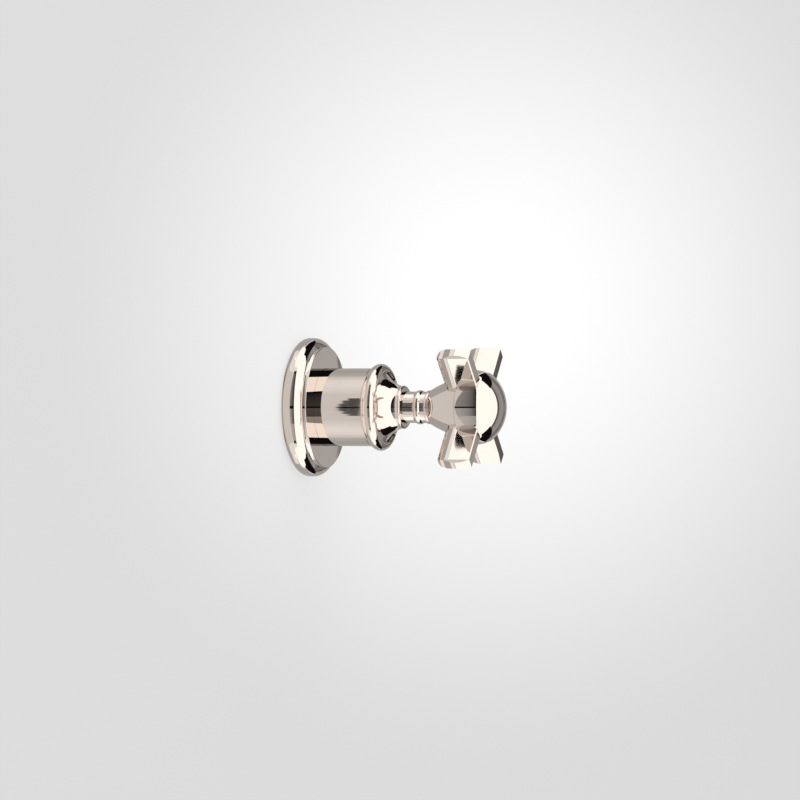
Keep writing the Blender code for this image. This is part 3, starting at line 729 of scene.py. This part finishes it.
@dataclass
class Spindle:
    """The spindle, its seals and what keeps it in the headwork."""

    radius: float = 4.5
    clearance: float = 0.3

    def build(self) -> list[str]:
        """Dresses the spindle and its small parts.

        Returns:
            The pieces' names.
        """
        made = dressed(STOCK.turned, "spindle")
        made += dressed(STOCK.rubber, "spindle_o_ring_front", "spindle_o_ring_back")
        return made + dressed(STOCK.steel, "thrust_washer", "circlip", "handle_screw")

    def bore(self) -> float:
        """The radius of a hole that the spindle turns in."""
        return self.radius + self.clearance


@dataclass
class Escutcheon:
    """What shows of the fixed part: wall flange, barrel, and the bell cover with its collar."""

    barrel_radius: float = 18.247
    barrel_wall: float = 2.3
    barrel_front: float = 34.6
    barrel_back: float = -8.0
    barrel_web: float = 7.0
    barrel_overlap: float = 0.2
    barrel_break: float = 0.15
    sleeve_radius: float = 14.197
    sleeve_clearance: float = 0.3
    flange_clearance: float = 0.1
    flange_width: float = 14.37
    flange_roll: float = 5.0
    flange_back_roll: float = 3.6
    flange_face_out: float = 11.5
    flange_rim: float = 4.1
    step_rise: float = 0.3
    step_width: float = 0.15
    step_sink: float = 0.1
    step_angle: float = 3.0
    # The hollow for the gasket, in shares of the flange's width, and the hollow's clearance and depth.
    hollow_near: float = 0.22
    hollow_far: float = 0.14
    hollow_clearance: float = 0.3
    hollow_depth: float = 1.8
    # The groove for the o-ring, and the wider bore behind it.
    groove: tuple[float, float] = (4.7, 7.3)
    groove_depth: float = 2.5
    bore_step: float = 0.2
    bore_step_out: float = 8.0
    collar_gap: float = 0.3
    collar_swell: float = 2.12
    collar_length: float = 6.7
    collar_edge: float = 3.0
    collar_fullest: float = 0.3
    collar_lap: float = 0.05
    collar_undercut: float = 0.1
    lip_width: float = 0.5
    lip_height: float = 1.1
    lip_break: float = 0.25
    bell_length: float = 8.2
    bell_wall: float = 1.9
    bell_lean: float = 0.28
    bell_rise: float = 0.25
    mouth_length: float = 2.1
    mouth_round: float = 1.0
    mouth_flare: float = 0.2
    mouth_wall: float = 2.6
    spigot_gap: float = 0.3
    spigot_length: float = 5.0
    neck_radius: float = 7.33
    neck_clearance: float = 0.15
    edge: float = 0.3

    def build(self) -> list[str]:
        """Makes the three pieces, dresses the two seals, and names them all."""
        made = [self.flange(), self.barrel(), self.bell()]
        return made + dressed(STOCK.rubber, "flange_gasket", "flange_o_ring")

    def flange(self) -> str:
        """Raised flat face, small step, rolled rim and a hollowed back.

        Returns:
            The finished piece's name.
        """
        bore = self.barrel_radius + self.flange_clearance
        radius = self.barrel_radius + self.flange_width
        out = self.flange_face_out
        face = radius - self.flange_rim
        roll = (radius - self.flange_roll, self.flange_roll)
        rise = math.sqrt(self.flange_roll**2 - (face - roll[0]) ** 2)
        angle = math.degrees(math.acos((face - roll[0]) / self.flange_roll))
        profile = [(bore, out), (face - self.edge, out)]
        profile += rounded((face - self.edge, out - self.edge), self.edge, 90, 0, steps=4)[1:]
        profile += [(face, roll[1] + rise + self.step_rise)]
        profile += [(face + self.step_width, roll[1] + rise - self.step_sink)]
        profile += rounded(roll, self.flange_roll, angle - self.step_angle, 0, steps=22)[1:]
        back = (radius - self.flange_back_roll, self.flange_back_roll)
        profile += rounded(back, self.flange_back_roll, 0, -90, steps=14)[1:]
        near = self.barrel_radius + self.flange_width * self.hollow_near - self.hollow_clearance
        far = radius - self.flange_back_roll - self.flange_width * self.hollow_far + self.hollow_clearance
        wide = bore + self.bore_step
        profile += [(far, 0), (far, self.hollow_depth), (near, self.hollow_depth), (near, 0), (wide, 0)]
        low, high = self.groove
        deep = bore + self.groove_depth
        profile += [(wide, low), (deep, low), (deep, high), (wide, high), (bore, self.bore_step_out)]
        return Shape.turned("wall_flange_rim", profile).fitted(Part.FIXED, STOCK.nickel, "wall_flange")

    def barrel(self) -> str:
        """The plain tube, with a web at its back.

        Returns:
            The finished piece's name.
        """
        radius = self.barrel_radius
        inside = radius - self.barrel_wall
        web = self.barrel_back + self.barrel_web
        front = self.barrel_front + self.barrel_overlap
        hole = self.sleeve_radius + self.sleeve_clearance
        profile = [(inside, front), (radius - self.barrel_break, front), (radius, front - self.barrel_break)]
        profile += [(radius, self.barrel_back + self.edge), (radius - self.edge, self.barrel_back)]
        profile += [(hole, self.barrel_back), (hole, web), (inside, web)]
        return Shape.turned("barrel_tube", profile).fitted(Part.FIXED, STOCK.nickel, "barrel_sleeve")

    def bell(self) -> str:
        """The swollen collar, the lip, and the bell down to its rounded mouth.

        Returns:
            The finished piece's name.
        """
        bore = self.neck_radius + self.neck_clearance
        back = self.barrel_front + self.collar_gap
        front = back + self.collar_length
        collar = self.barrel_radius + self.collar_swell
        foot = (collar - self.collar_edge - self.lip_width, front - self.lip_height)
        waist = (self.neck_radius + self.mouth_wall, foot[1] + self.bell_length)
        leant = waist[0] * (1 - self.bell_lean) + foot[0] * self.bell_lean
        lean = (leant, foot[1] + self.bell_length * self.bell_rise)
        tip = waist[1] + self.mouth_length
        mouth = (waist[0] + self.mouth_flare - self.mouth_round, tip - self.mouth_round)
        edge = (collar - self.collar_edge, front - self.collar_edge)
        lip = edge[0] - self.lip_width
        swell = (collar, back + self.collar_length * self.collar_fullest)
        lap = (self.barrel_radius + self.collar_lap, back)
        heel = back - self.collar_lap
        spigot = self.barrel_radius - self.barrel_wall - self.spigot_gap
        inside = spigot - self.bell_wall
        profile = [(bore, tip)] + rounded(mouth, self.mouth_round, 90, 0, steps=10)
        profile += swept(waist, lean, foot, steps=28)
        profile += [(lip, front - self.lip_break), (lip + self.lip_break, front)]
        profile += rounded(edge, self.collar_edge, 90, 0, steps=18)
        profile += swept(profile[-1], swell, lap, steps=16)[1:]
        profile += [(self.barrel_radius - self.collar_undercut, heel), (spigot, heel)]
        profile += [(spigot, back - self.spigot_length), (inside, back - self.spigot_length)]
        profile += [(inside, foot[1] - self.bell_wall), (bore, waist[1] - self.bell_wall)]
        return Shape.turned("bell_and_collar", profile).fitted(Part.FIXED, STOCK.nickel, "bell_cover")


@dataclass
class CrossHandle:
    """The handle: beaded neck, bowl, round hub with four thin arms, and the dome in front."""

    neck_radius: float = 7.33
    neck_back: float = 47.6
    neck_front: float = 63.3
    neck_overlap: float = 0.2
    neck_gap: float = 0.3
    neck_seat: float = 1.5
    spigot_length: float = 3.8
    spigot_wall: float = 1.2
    bead_rise: float = 0.65
    bead_out: float = 57.9
    bead_length: float = 3.4
    ring_rise: float = 0.5
    ring_length: float = 1.4
    ring_round: float = 0.3
    bowl_throat: float = 8.23
    bowl_throat_break: float = 0.25
    bowl_mouth: float = 14.1
    bowl_length: float = 14.8
    bowl_fullness: float = 0.62
    bowl_pull: float = 0.43
    # The bores of the casting: for the dome's spigot, for the screw, and up to the spindle's end.
    cap_bore: float = 7.7
    cap_bore_back: float = 83.2
    screw_bore: float = 2.9
    screw_bore_back: float = 67.6
    hub_radius: float = 17.7
    hub_back: float = 80.3
    arm_front: float = 90.1
    arm_reach: float = 36.5
    arm_thickness: float = 6.1
    arm_flat_depth: float = 9.8
    arm_nose_depth: float = 6.5
    tip_ball: float = 18.0
    tip_peak: float = 6.4
    tip_chamfer: float = 1.0
    corner: float = 3.8
    corner_sink: float = 0.15
    corner_angle: float = 4.0
    front_break: float = 0.45
    arm_edge: float = 0.22
    trim: float = 1.0
    resting_turn: float = 1.7
    dome_ball: float = 20.4
    dome_rise: float = 9.0
    shoulder: float = 50.0
    seam: float = 0.03
    cap_spigot: float = 7.5
    cap_spigot_length: float = 3.9
    cap_hollow: float = 4.7
    cap_hollow_rise: float = 0.2
    spindle: Spindle = field(default_factory=Spindle)

    def build(self) -> list[str]:
        """Makes the three pieces of the handle that show, and names them."""
        return [self.neck(), self.casting(), self.dome()]

    def neck(self) -> str:
        """The tube with its bead and its end ring.

        Returns:
            The finished piece's name.
        """
        bore = self.spindle.bore()
        half = self.bead_length / 2
        ball = (half**2 + self.bead_rise**2) / (2 * self.bead_rise)
        spread = math.degrees(math.asin(half / ball))
        ring = self.neck_radius + self.ring_rise
        ring_back = self.neck_front - self.ring_length
        ease = self.ring_round
        front = self.neck_front + self.neck_overlap
        spigot = bore + self.spigot_wall
        profile = [(bore, front + self.spigot_length), (spigot, front + self.spigot_length), (spigot, front)]
        profile += rounded((ring - ease, front - ease), ease, 90, 0, steps=4)
        profile += rounded((ring - ease, ring_back + ease), ease, 0, -90, steps=4)
        profile += [(self.neck_radius, ring_back)]
        centre = (self.neck_radius + self.bead_rise - ball, self.bead_out)
        profile += rounded(centre, ball, spread, -spread, steps=18)
        profile += [(self.neck_radius, self.neck_back), (bore, self.neck_back)]
        neck = Shape.turned("beaded_neck", profile)
        return neck.fitted(Part.HANDLE, STOCK.nickel, "neck_sleeve", crisp=25)

    def crown(self) -> Profile:
        """The dome and the side of the hub as one curve, from front to back.

        Returns:
            The profile.
        """
        top = self.arm_front + self.dome_rise
        cap = rounded((0, top - self.dome_ball), self.dome_ball, 90, 90 - self.shoulder, steps=40)
        drop = (self.hub_radius - cap[-1][0]) * math.tan(math.radians(self.shoulder))
        pull = (self.hub_radius, cap[-1][1] - drop)
        side = swept(cap[-1], pull, (self.hub_radius, self.hub_back), steps=40)
        return [(0, top)] + cap[1:] + side[1:]

    def arm_section(self) -> Profile:
        """An arm cut across: flat front, flat sides, half-round back.

        Returns:
            The outline, as points across the arm and out.
        """
        half = self.arm_thickness / 2
        flat_end = self.arm_front - self.arm_flat_depth
        ease = self.front_break
        section = [(half, self.arm_front - ease), (half - ease, self.arm_front)]
        section += [(ease - half, self.arm_front), (-half, self.arm_front - ease)]
        steps = 28
        for i in range(steps + 1):
            angle = math.pi * i / steps
            section.append((-half * math.cos(angle), flat_end - self.arm_nose_depth * math.sin(angle)))
        return section

    def arm_side(self) -> Profile:
        """A pair of arms from their flat side: crowned ends and round back corners.

        Returns:
            The outline, as points along the arms and out.
        """
        back = self.arm_front - self.arm_flat_depth - self.arm_nose_depth
        peak = self.arm_front - self.tip_peak
        front_angle = math.degrees(math.asin((self.tip_peak - self.front_break) / self.tip_ball))
        corner_angle = math.degrees(math.asin((peak - back - self.corner) / self.tip_ball))
        centre = (self.arm_reach - self.tip_ball, peak)
        tip = rounded(centre, self.tip_ball, front_angle, -corner_angle, steps=16)
        front = (tip[0][0] - self.front_break - self.trim, tip[0][1] + self.front_break + self.trim)
        lean = math.cos(math.radians(corner_angle))
        bend = (tip[-1][0] - self.corner * lean, back + self.corner - self.corner_sink)
        turned = rounded(bend, self.corner, -corner_angle - self.corner_angle, -90, steps=12)
        side = [front] + tip + turned
        return side + [(-along, out) for along, out in reversed(side)]

    def arm_plan(self) -> Profile:
        """A pair of arms from the front, with the chamfers beside their ends.

        Returns:
            The outline, as points across the arms and along them.
        """
        half = self.arm_thickness / 2
        wide = (half + self.trim, self.arm_reach - self.tip_chamfer - self.trim)
        narrow = (half - self.tip_chamfer - self.trim, self.arm_reach + self.trim)
        upper = [wide, narrow, (-narrow[0], narrow[1]), (-wide[0], wide[1])]
        return upper + [(-x, -y) for x, y in upper]

    def arms(self, turn: float) -> Shape:
        """Makes two opposite arms as one bar.

        Args:
            turn: The bar's angle from upright, in degrees.

        Returns:
            The bar.
        """
        reach = self.arm_reach + self.trim
        bar = Shape.prism("arms", self.arm_section(), -reach, reach)
        bar.moved(Matrix.Rotation(math.pi / 2, 4, "X"))
        side = Shape.prism("arms_side", self.arm_side(), -self.arm_thickness, self.arm_thickness)
        side.moved(SIDE_ON)
        plan = Shape.prism("arms_plan", self.arm_plan(), self.neck_front, self.arm_front + 2 * self.trim)
        bar.combined(Operation.KEEP_COMMON, side, plan)
        bar.eased_edges(self.arm_edge, steps=3, over=34)
        return bar.moved(Matrix.Rotation(math.radians(turn), 4, "Z"))

    def casting(self) -> str:
        """Bowl, hub and arms in one, bored for the neck and the dome's spigot.

        Returns:
            The finished piece's name.
        """
        back = self.neck_front + self.neck_gap
        throat = self.bowl_throat
        full = throat + self.bowl_fullness * (self.bowl_mouth - throat)
        mouth = (self.bowl_mouth, back + self.bowl_length)
        lean = (full, back + self.bowl_length * self.bowl_pull)
        ease = self.bowl_throat_break
        profile = [(0, self.arm_front)] + stretch_between(self.crown(), self.arm_front, self.hub_back)
        profile += [(self.hub_radius, self.hub_back)]
        profile += swept(mouth, lean, (throat, back + ease), steps=30)
        profile += [(throat - ease, back), (0, back)]
        casting = Shape.turned("handle_casting", profile)
        rising, falling = self.arms(45 + self.resting_turn), self.arms(self.resting_turn - 45)
        casting.combined(Operation.JOIN, rising, falling)
        casting.combined(Operation.CUT, self.bores(back))
        return casting.fitted(Part.HANDLE, STOCK.nickel, "cross_handle", crisp=24)

    def bores(self, back: float) -> Shape:
        """Makes what is cut out of the casting.

        Args:
            back: The level of the casting's back end.

        Returns:
            The bores as one solid.
        """
        beyond = 2 * self.trim
        above, below = self.arm_front + beyond, back - beyond
        neck = self.spindle.bore() + self.neck_seat
        ends = self.cap_bore_back, self.screw_bore_back
        profile = [(0, above), (self.cap_bore, above), (self.cap_bore, ends[0])]
        profile += [(self.screw_bore, ends[0]), (self.screw_bore, ends[1])]
        profile += [(neck, ends[1]), (neck, below), (0, below)]
        return Shape.turned("handle_bores", profile, sides=64)

    def dome(self) -> str:
        """The dome, which carries on the hub's curve, with its spigot.

        Returns:
            The finished piece's name.
        """
        back = self.arm_front + self.seam
        end = back - self.cap_spigot_length
        ceiling = back + self.cap_hollow_rise
        profile = [(0, self.arm_front + self.dome_rise)] + stretch_between(self.crown(), math.inf, back)
        profile += [(self.cap_spigot, back), (self.cap_spigot, end)]
        profile += [(self.cap_hollow, end), (self.cap_hollow, ceiling), (0, ceiling)]
        return Shape.turned("front_dome", profile).fitted(Part.HANDLE, STOCK.nickel, "dome_cap")


@dataclass
class Headwork:
    """The working parts inside the wall that the covers and the valve body hide."""

    def build(self) -> list[str]:
        """Dresses the headwork, the carrier, and their washers, and names them."""
        made = dressed(STOCK.turned, "headwork_body", "valve_carrier", "washer_nut", "mounting_sleeve")
        return made + dressed(STOCK.fibre, "headwork_washer") + dressed(STOCK.rubber, "seat_washer")


@dataclass
class ValveBody:
    """The cast body inside the wall."""

    edge: float = 0.3

    def build(self) -> list[str]:
        """Eases the casting's edges and rounds its sides.

        Returns:
            The piece's name, in a list.
        """
        casting = Shape.copied("cast_body", "valve_body")
        casting.eased_edges(self.edge * MM, steps=2, over=40)
        return [casting.finished(Part.FIXED, STOCK.cast, "valve_body", crisp=50)]


@dataclass(frozen=True)
class Panel:
    """A bright or dark studio panel, by the directions that it fills round the valve.

    The first pair is its azimuths, with 0 straight out of the wall and growing towards +X, and the
    second pair its elevations, in degrees.
    """

    name: str
    first: tuple[float, float]
    second: tuple[float, float]
    level: float
    far_level: float | None = None
    distance: float = 3.0

    def build(self, centre: Vector) -> None:
        """Makes the panel as a patch of a sphere, seen in reflections alone.

        Args:
            centre: The middle of the sphere.
        """
        shape = bmesh.new()
        grid = []
        for first in self._lines(self.first):
            ways = [self._way(first, second) for second in self._lines(self.second)]
            grid.append([shape.verts.new(centre + way * self.distance) for way in ways])
        for line, following in zip(grid, grid[1:]):
            for j in range(len(line) - 1):
                shape.faces.new((line[j], line[j + 1], following[j + 1], following[j]))
        obj = staged(mesh_from(self.name, shape), self._glow())
        obj.visible_camera = False
        obj.visible_diffuse = False
        obj.visible_shadow = False

    def _way(self, first: float, second: float) -> Vector:
        """The direction of a point of the panel, from its two angles in radians."""
        flat = math.cos(second)
        return Vector((math.sin(first) * flat, -math.cos(first) * flat, math.sin(second)))

    def _graded_along(self, bench: Bench) -> tuple[Field, tuple[float, float]]:
        """The azimuth of the shaded point, and its limits."""
        across, along, _ = bench.axes()
        return across.angle_over(-along), self.first

    @staticmethod
    def _lines(ends: tuple[float, float]) -> list[float]:
        """The angles of the grid's lines, in radians."""
        steps = max(2, int((ends[1] - ends[0]) / PANEL_GRID))
        return [math.radians(ends[0] + (ends[1] - ends[0]) * (i / steps)) for i in range(steps + 1)]

    def _glow(self) -> bpy.types.Material:
        """An even glow, or one that changes along the panel.

        Returns:
            The material.
        """
        bench = Bench(bpy.data.materials.new(self.name))
        near = (self.level,) * 3
        colour: object = (*near, 1)
        if self.far_level is not None:
            angle, limits = self._graded_along(bench)
            low, high = (math.radians(limit) for limit in limits)
            colour = bench.blend((angle - low) / (high - low), near, (self.far_level,) * 3)
        return bench.ended(bench.node("ShaderNodeEmission", None, {"Color": colour}))


@dataclass(frozen=True)
class AxialPanel(Panel):
    """A panel for the turned pieces, which mirror it as a plain shape.

    The first pair is its tilts from the valve's axis, and the second pair its rolls round the axis,
    with 0 towards -X and growing upwards, in degrees.
    """

    def _way(self, first: float, second: float) -> Vector:
        """The direction of a point of the panel, from its two angles in radians."""
        wide = math.sin(first)
        return Vector((-math.cos(second) * wide, -math.cos(first), math.sin(second) * wide))

    def _graded_along(self, bench: Bench) -> tuple[Field, tuple[float, float]]:
        """The roll of the shaded point, and its limits."""
        across, _, up = bench.axes()
        return up.angle_over(-across), self.second


@dataclass
class Studio:
    """A pale wall and floor, soft lamps, and the panels that polished metal mirrors."""

    wall_reach: float = 2.2
    wall_gap: float = 0.0002
    floor_drop: float = 0.40
    hole: float = 0.022
    # A painted pool of light on the wall, white in its middle: its place and size, and how it narrows to the
    # left.
    light_pool_across: float = 0.31
    light_pool_lift: float = 0.21
    light_pool_width: float = 2.12
    light_pool_height: float = 7.16
    narrowed_at: float = 1.62
    narrowest: float = 0.5
    # The painted shade that the wall greys to away from its painted pool of light.
    painted_corner_shade: Colour = (0.70, 0.70, 0.70)
    floor_tone: Colour = (0.86, 0.86, 0.86)
    weave_tone: Colour = (0.8, 0.8, 0.8)
    weave_share: float = 0.02
    matt_share: float = 0.25
    centre: Vector = field(default_factory=lambda: Vector((0, -0.05, 0)))

    def build(self) -> list[str]:
        """Sets up everything round the valve.

        Returns:
            What there is, by name.
        """
        self.world()
        self.wall()
        self.floor()
        self.lamps()
        panels = self.panels()
        for panel in panels:
            panel.build(self.centre)
        return ["wall", "floor", "lamps", f"{len(panels)} studio panels"]

    def panels(self) -> list[Panel]:
        """Lists the panels, the nearer ones in front of the farther ones.

        Returns:
            The panels.
        """
        return [
            Panel("softbox_front", (-62, 32), (-68, 68), 1.38),
            Panel("softbox_above", (-180, 180), (66, 90), 1.38, distance=3.4),
            Panel("softbox_below", (-180, 180), (-90, -66), 1.38, distance=3.4),
            Panel("ceiling_left", (110, 285), (54, 67), 0.97, distance=3.3),
            Panel("ground_left", (110, 285), (-67, -54), 0.97, distance=3.3),
            Panel("backing_left", (180, 262), (-54, 54), 0.73, distance=3.2),
            Panel("backing_right", (96, 180), (-60, 60), 0.45, distance=3.2),
            Panel("frame_right", (30.5, 37), (-36, 36), 0.09, distance=2.8),
            Panel("card_right", (37, 61), (-36, 36), 0.30, 0.40, distance=2.9),
            Panel("card_aside_right", (61, 71), (-36, 36), 0.21, distance=2.9),
            Panel("patch_right", (68.6, 70.9), (-3, 3), 0.46, distance=2.75),
            Panel("slot_right", (71.75, 77), (-36, 36), 0.12, distance=2.8),
            Panel("card_far_right", (71, 98), (-36, 36), 0.36, 0.45, distance=2.9),
            Panel("bar_above_right", (26, 92), (34, 67), 0.006, distance=2.8),
            Panel("bar_below_right", (26, 92), (-67, -34), 0.006, distance=2.8),
            Panel("card_left_above", (-106.9, -62), (0, 60), 0.30, 0.004, distance=2.9),
            Panel("card_left_below", (-106.9, -62), (-26, 0), 0.46, 0.03, distance=2.9),
            Panel("card_left_foot", (-106.9, -62), (-60, -26), 0.56, 0.36, distance=2.9),
            Panel("strip_left", (-106.9, -64), (-2.2, 2.2), 0.004, distance=2.7),
            Panel("edge_above", (-106.9, -66), (55, 60), 0.03, distance=2.7),
            Panel("edge_below", (-106.9, -66), (-60, -55), 0.03, distance=2.7),
            *self.rails(),
            AxialPanel("stand_foot", (109.87, 110.22), (-25.5, 26.5), 0.09, distance=2.6),
            AxialPanel("stand_head", (110.22, 110.37), (-20, 20), 0.09, distance=2.6),
            AxialPanel("stand_tip", (110.37, 110.48), (-11, 10), 0.09, distance=2.6),
            AxialPanel("stand_line", (109.87, 110.56), (-2.8, 1.4), 0.006, distance=2.5),
            AxialPanel("neck_card", (108.25, 109.15), (-32, 33), 0.13, distance=2.6),
            AxialPanel("neck_line", (108.25, 109.15), (-4, 1.5), 0.02, distance=2.5),
            AxialPanel("pocket_below", (107.07, 107.54), (-92.85, -92.22), 0.008, distance=2.6),
            AxialPanel("pocket_above", (107.07, 107.54), (85.18, 85.7), 0.008, distance=2.6),
        ]

    @staticmethod
    def rails() -> list[AxialPanel]:
        """The long soft glows above and below that the barrel mirrors.

        Returns:
            The panels.
        """
        tilts = (109.25, 112.2)
        distance = 2.8
        bands = ((40, 68, 0.77, 0.94), (68, 84, 0.94, 0.90), (84, 104, 0.90, 0.64), (104, 136, 0.54, 0.40))
        rails = []
        for low, high, level, far in bands:
            rails.append(AxialPanel(f"rail_above_{low}", tilts, (low, high), level, far, distance))
            rails.append(AxialPanel(f"rail_below_{low}", tilts, (-high, -low), far, level, distance))
        return rails

    def world(self) -> None:
        """An even pale surrounding."""
        world = bpy.data.worlds.new("pale_studio")
        bpy.context.scene.world = world
        bench = Bench(world)
        shader = bench.node("ShaderNodeBackground", None, {"Color": (0.9, 0.9, 0.9, 1), "Strength": 1.0})
        bench.node("ShaderNodeOutputWorld", None, {"Surface": shader.outputs[0]})

    def _painted_light_pool(self, bench: Bench) -> Field:
        """The wall's painted light: a pool of light painted white in the middle, with painted shade greyer
        away from it.

        Args:
            bench: The bench of the wall's paint.

        Returns:
            The painted light and shade.
        """
        across, _, up = bench.axes()
        spread = (across + self.narrowed_at).at_least(self.narrowest)
        aside = (across - self.light_pool_across) * self.light_pool_width / spread
        above = up * self.light_pool_height / spread - self.light_pool_lift
        away = (aside * aside + above * above).root()
        return bench.blend(away.eased(0.0, 1.0), (1.0, 1.0, 1.0), self.painted_corner_shade)

    def _pale(self, name: str, is_wall: bool) -> bpy.types.Material:
        """Makes a pale surface, part glow and part matt.

        Args:
            name: The material's name.
            is_wall: Whether it carries the painted pool of light, brightest in the middle, and is clear from
                behind.

        Returns:
            The material.
        """
        bench = Bench(bpy.data.materials.new(name))
        # On the wall this colour is the painted pool of light with its painted shade; on the floor it is an
        # even tone.
        colour = self._painted_light_pool(bench) if is_wall else self.floor_tone
        weave = bench.mottle(scale=30, detail=2)
        tinted = bench.blend(weave * self.weave_share, colour, self.weave_tone)
        matt = bench.node("ShaderNodeBsdfDiffuse", None, {"Color": tinted}).outputs[0]
        glow = bench.node("ShaderNodeEmission", None, {"Color": tinted, "Strength": 1.0}).outputs[0]
        shader = bench.node("ShaderNodeMixShader", None, {0: self.matt_share, 1: glow, 2: matt})
        if is_wall:
            behind = bench.field(bench.node("ShaderNodeNewGeometry"), "Backfacing")
            clear = bench.node("ShaderNodeBsdfTransparent").outputs[0]
            sockets = {0: behind, 1: shader.outputs[0], 2: clear}
            shader = bench.node("ShaderNodeMixShader", None, sockets)
        return bench.ended(shader)

    def wall(self) -> None:
        """The finished wall, with the hole that the barrel goes through."""
        shape = bmesh.new()
        sides = 96
        inner = []
        outer = []
        for i in range(sides):
            angle = 2 * math.pi * i / sides
            across, up = math.cos(angle), math.sin(angle)
            square = self.wall_reach / max(abs(across), abs(up))
            foot = max(up * square, -self.floor_drop)
            inner.append(shape.verts.new((across * self.hole, self.wall_gap, up * self.hole)))
            outer.append(shape.verts.new((across * square, self.wall_gap, foot)))
        for i in range(sides):
            j = (i + 1) % sides
            shape.faces.new((inner[i], inner[j], outer[j], outer[i]))
        mesh = mesh_from("finished_wall", shape)
        if mesh.polygons[0].normal.y > 0:
            mesh.flip_normals()
        staged(mesh, self._pale("wall_paint", is_wall=True)).visible_glossy = False

    def floor(self) -> None:
        """A plain floor well below the valve."""
        reach = self.wall_reach
        corners = [(-reach, -reach), (reach, -reach), (reach, 0.0), (-reach, 0.0)]
        mesh = bpy.data.meshes.new("pale_floor")
        mesh.from_pydata([(x, y, -self.floor_drop) for x, y in corners], [], [(0, 1, 2, 3)])
        staged(mesh, self._pale("floor_paint", is_wall=False)).visible_glossy = False

    def lamps(self) -> None:
        """Three large soft lamps, which metal does not mirror."""
        for name, place, size, power in (
            ("lamp_front", (-0.6, -1.6, 0.9), 1.4, 9.0),
            ("lamp_above", (0.3, -0.5, 1.6), 1.6, 8.0),
            ("lamp_behind", (-0.5, 1.4, 0.9), 1.4, 8.0),
        ):
            data = bpy.data.lights.new(name, "AREA")
            data.size = size
            data.energy = power
            lamp = bpy.data.objects.new(name, data)
            lamp.location = place
            lamp.rotation_euler = (self.centre - Vector(place)).to_track_quat("-Z", "Y").to_euler()
            lamp.visible_glossy = False
            bpy.context.scene.collection.objects.link(lamp)


@dataclass
class Viewpoint:
    """The camera, from the side and level with the handle."""

    azimuth: float = -71.0
    distance: float = 1.5184
    half_frame: float = 400.0
    focal: float = 3250.0
    target: Vector = field(default_factory=lambda: Vector((0, -0.04785, 0.0034)))

    def build(self) -> None:
        """Makes the camera and picks it for the scene."""
        turn = math.radians(self.azimuth)
        data = bpy.data.cameras.new("viewpoint")
        data.sensor_fit = "HORIZONTAL"
        data.angle = 2 * math.atan(self.half_frame / self.focal)
        data.clip_start = 0.01
        camera = bpy.data.objects.new("viewpoint", data)
        camera.location = self.target + self.distance * Vector((math.sin(turn), -math.cos(turn), 0))
        camera.rotation_euler = (math.pi / 2, 0, turn)
        bpy.context.scene.collection.objects.link(camera)
        bpy.context.scene.camera = camera
        bpy.context.scene.view_settings.view_transform = "Standard"


def main() -> None:
    """Dresses the valve piece by piece and sets up the studio."""
    logging.basicConfig(level=logging.INFO, format="%(message)s")
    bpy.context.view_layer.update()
    Viewpoint().build()
    for fitting in (Escutcheon(), CrossHandle(), Spindle(), Headwork(), ValveBody(), Studio()):
        for piece in fitting.build():
            log.info("%s: %s", type(fitting).__name__, piece)


if __name__ == "__main__":
    main()
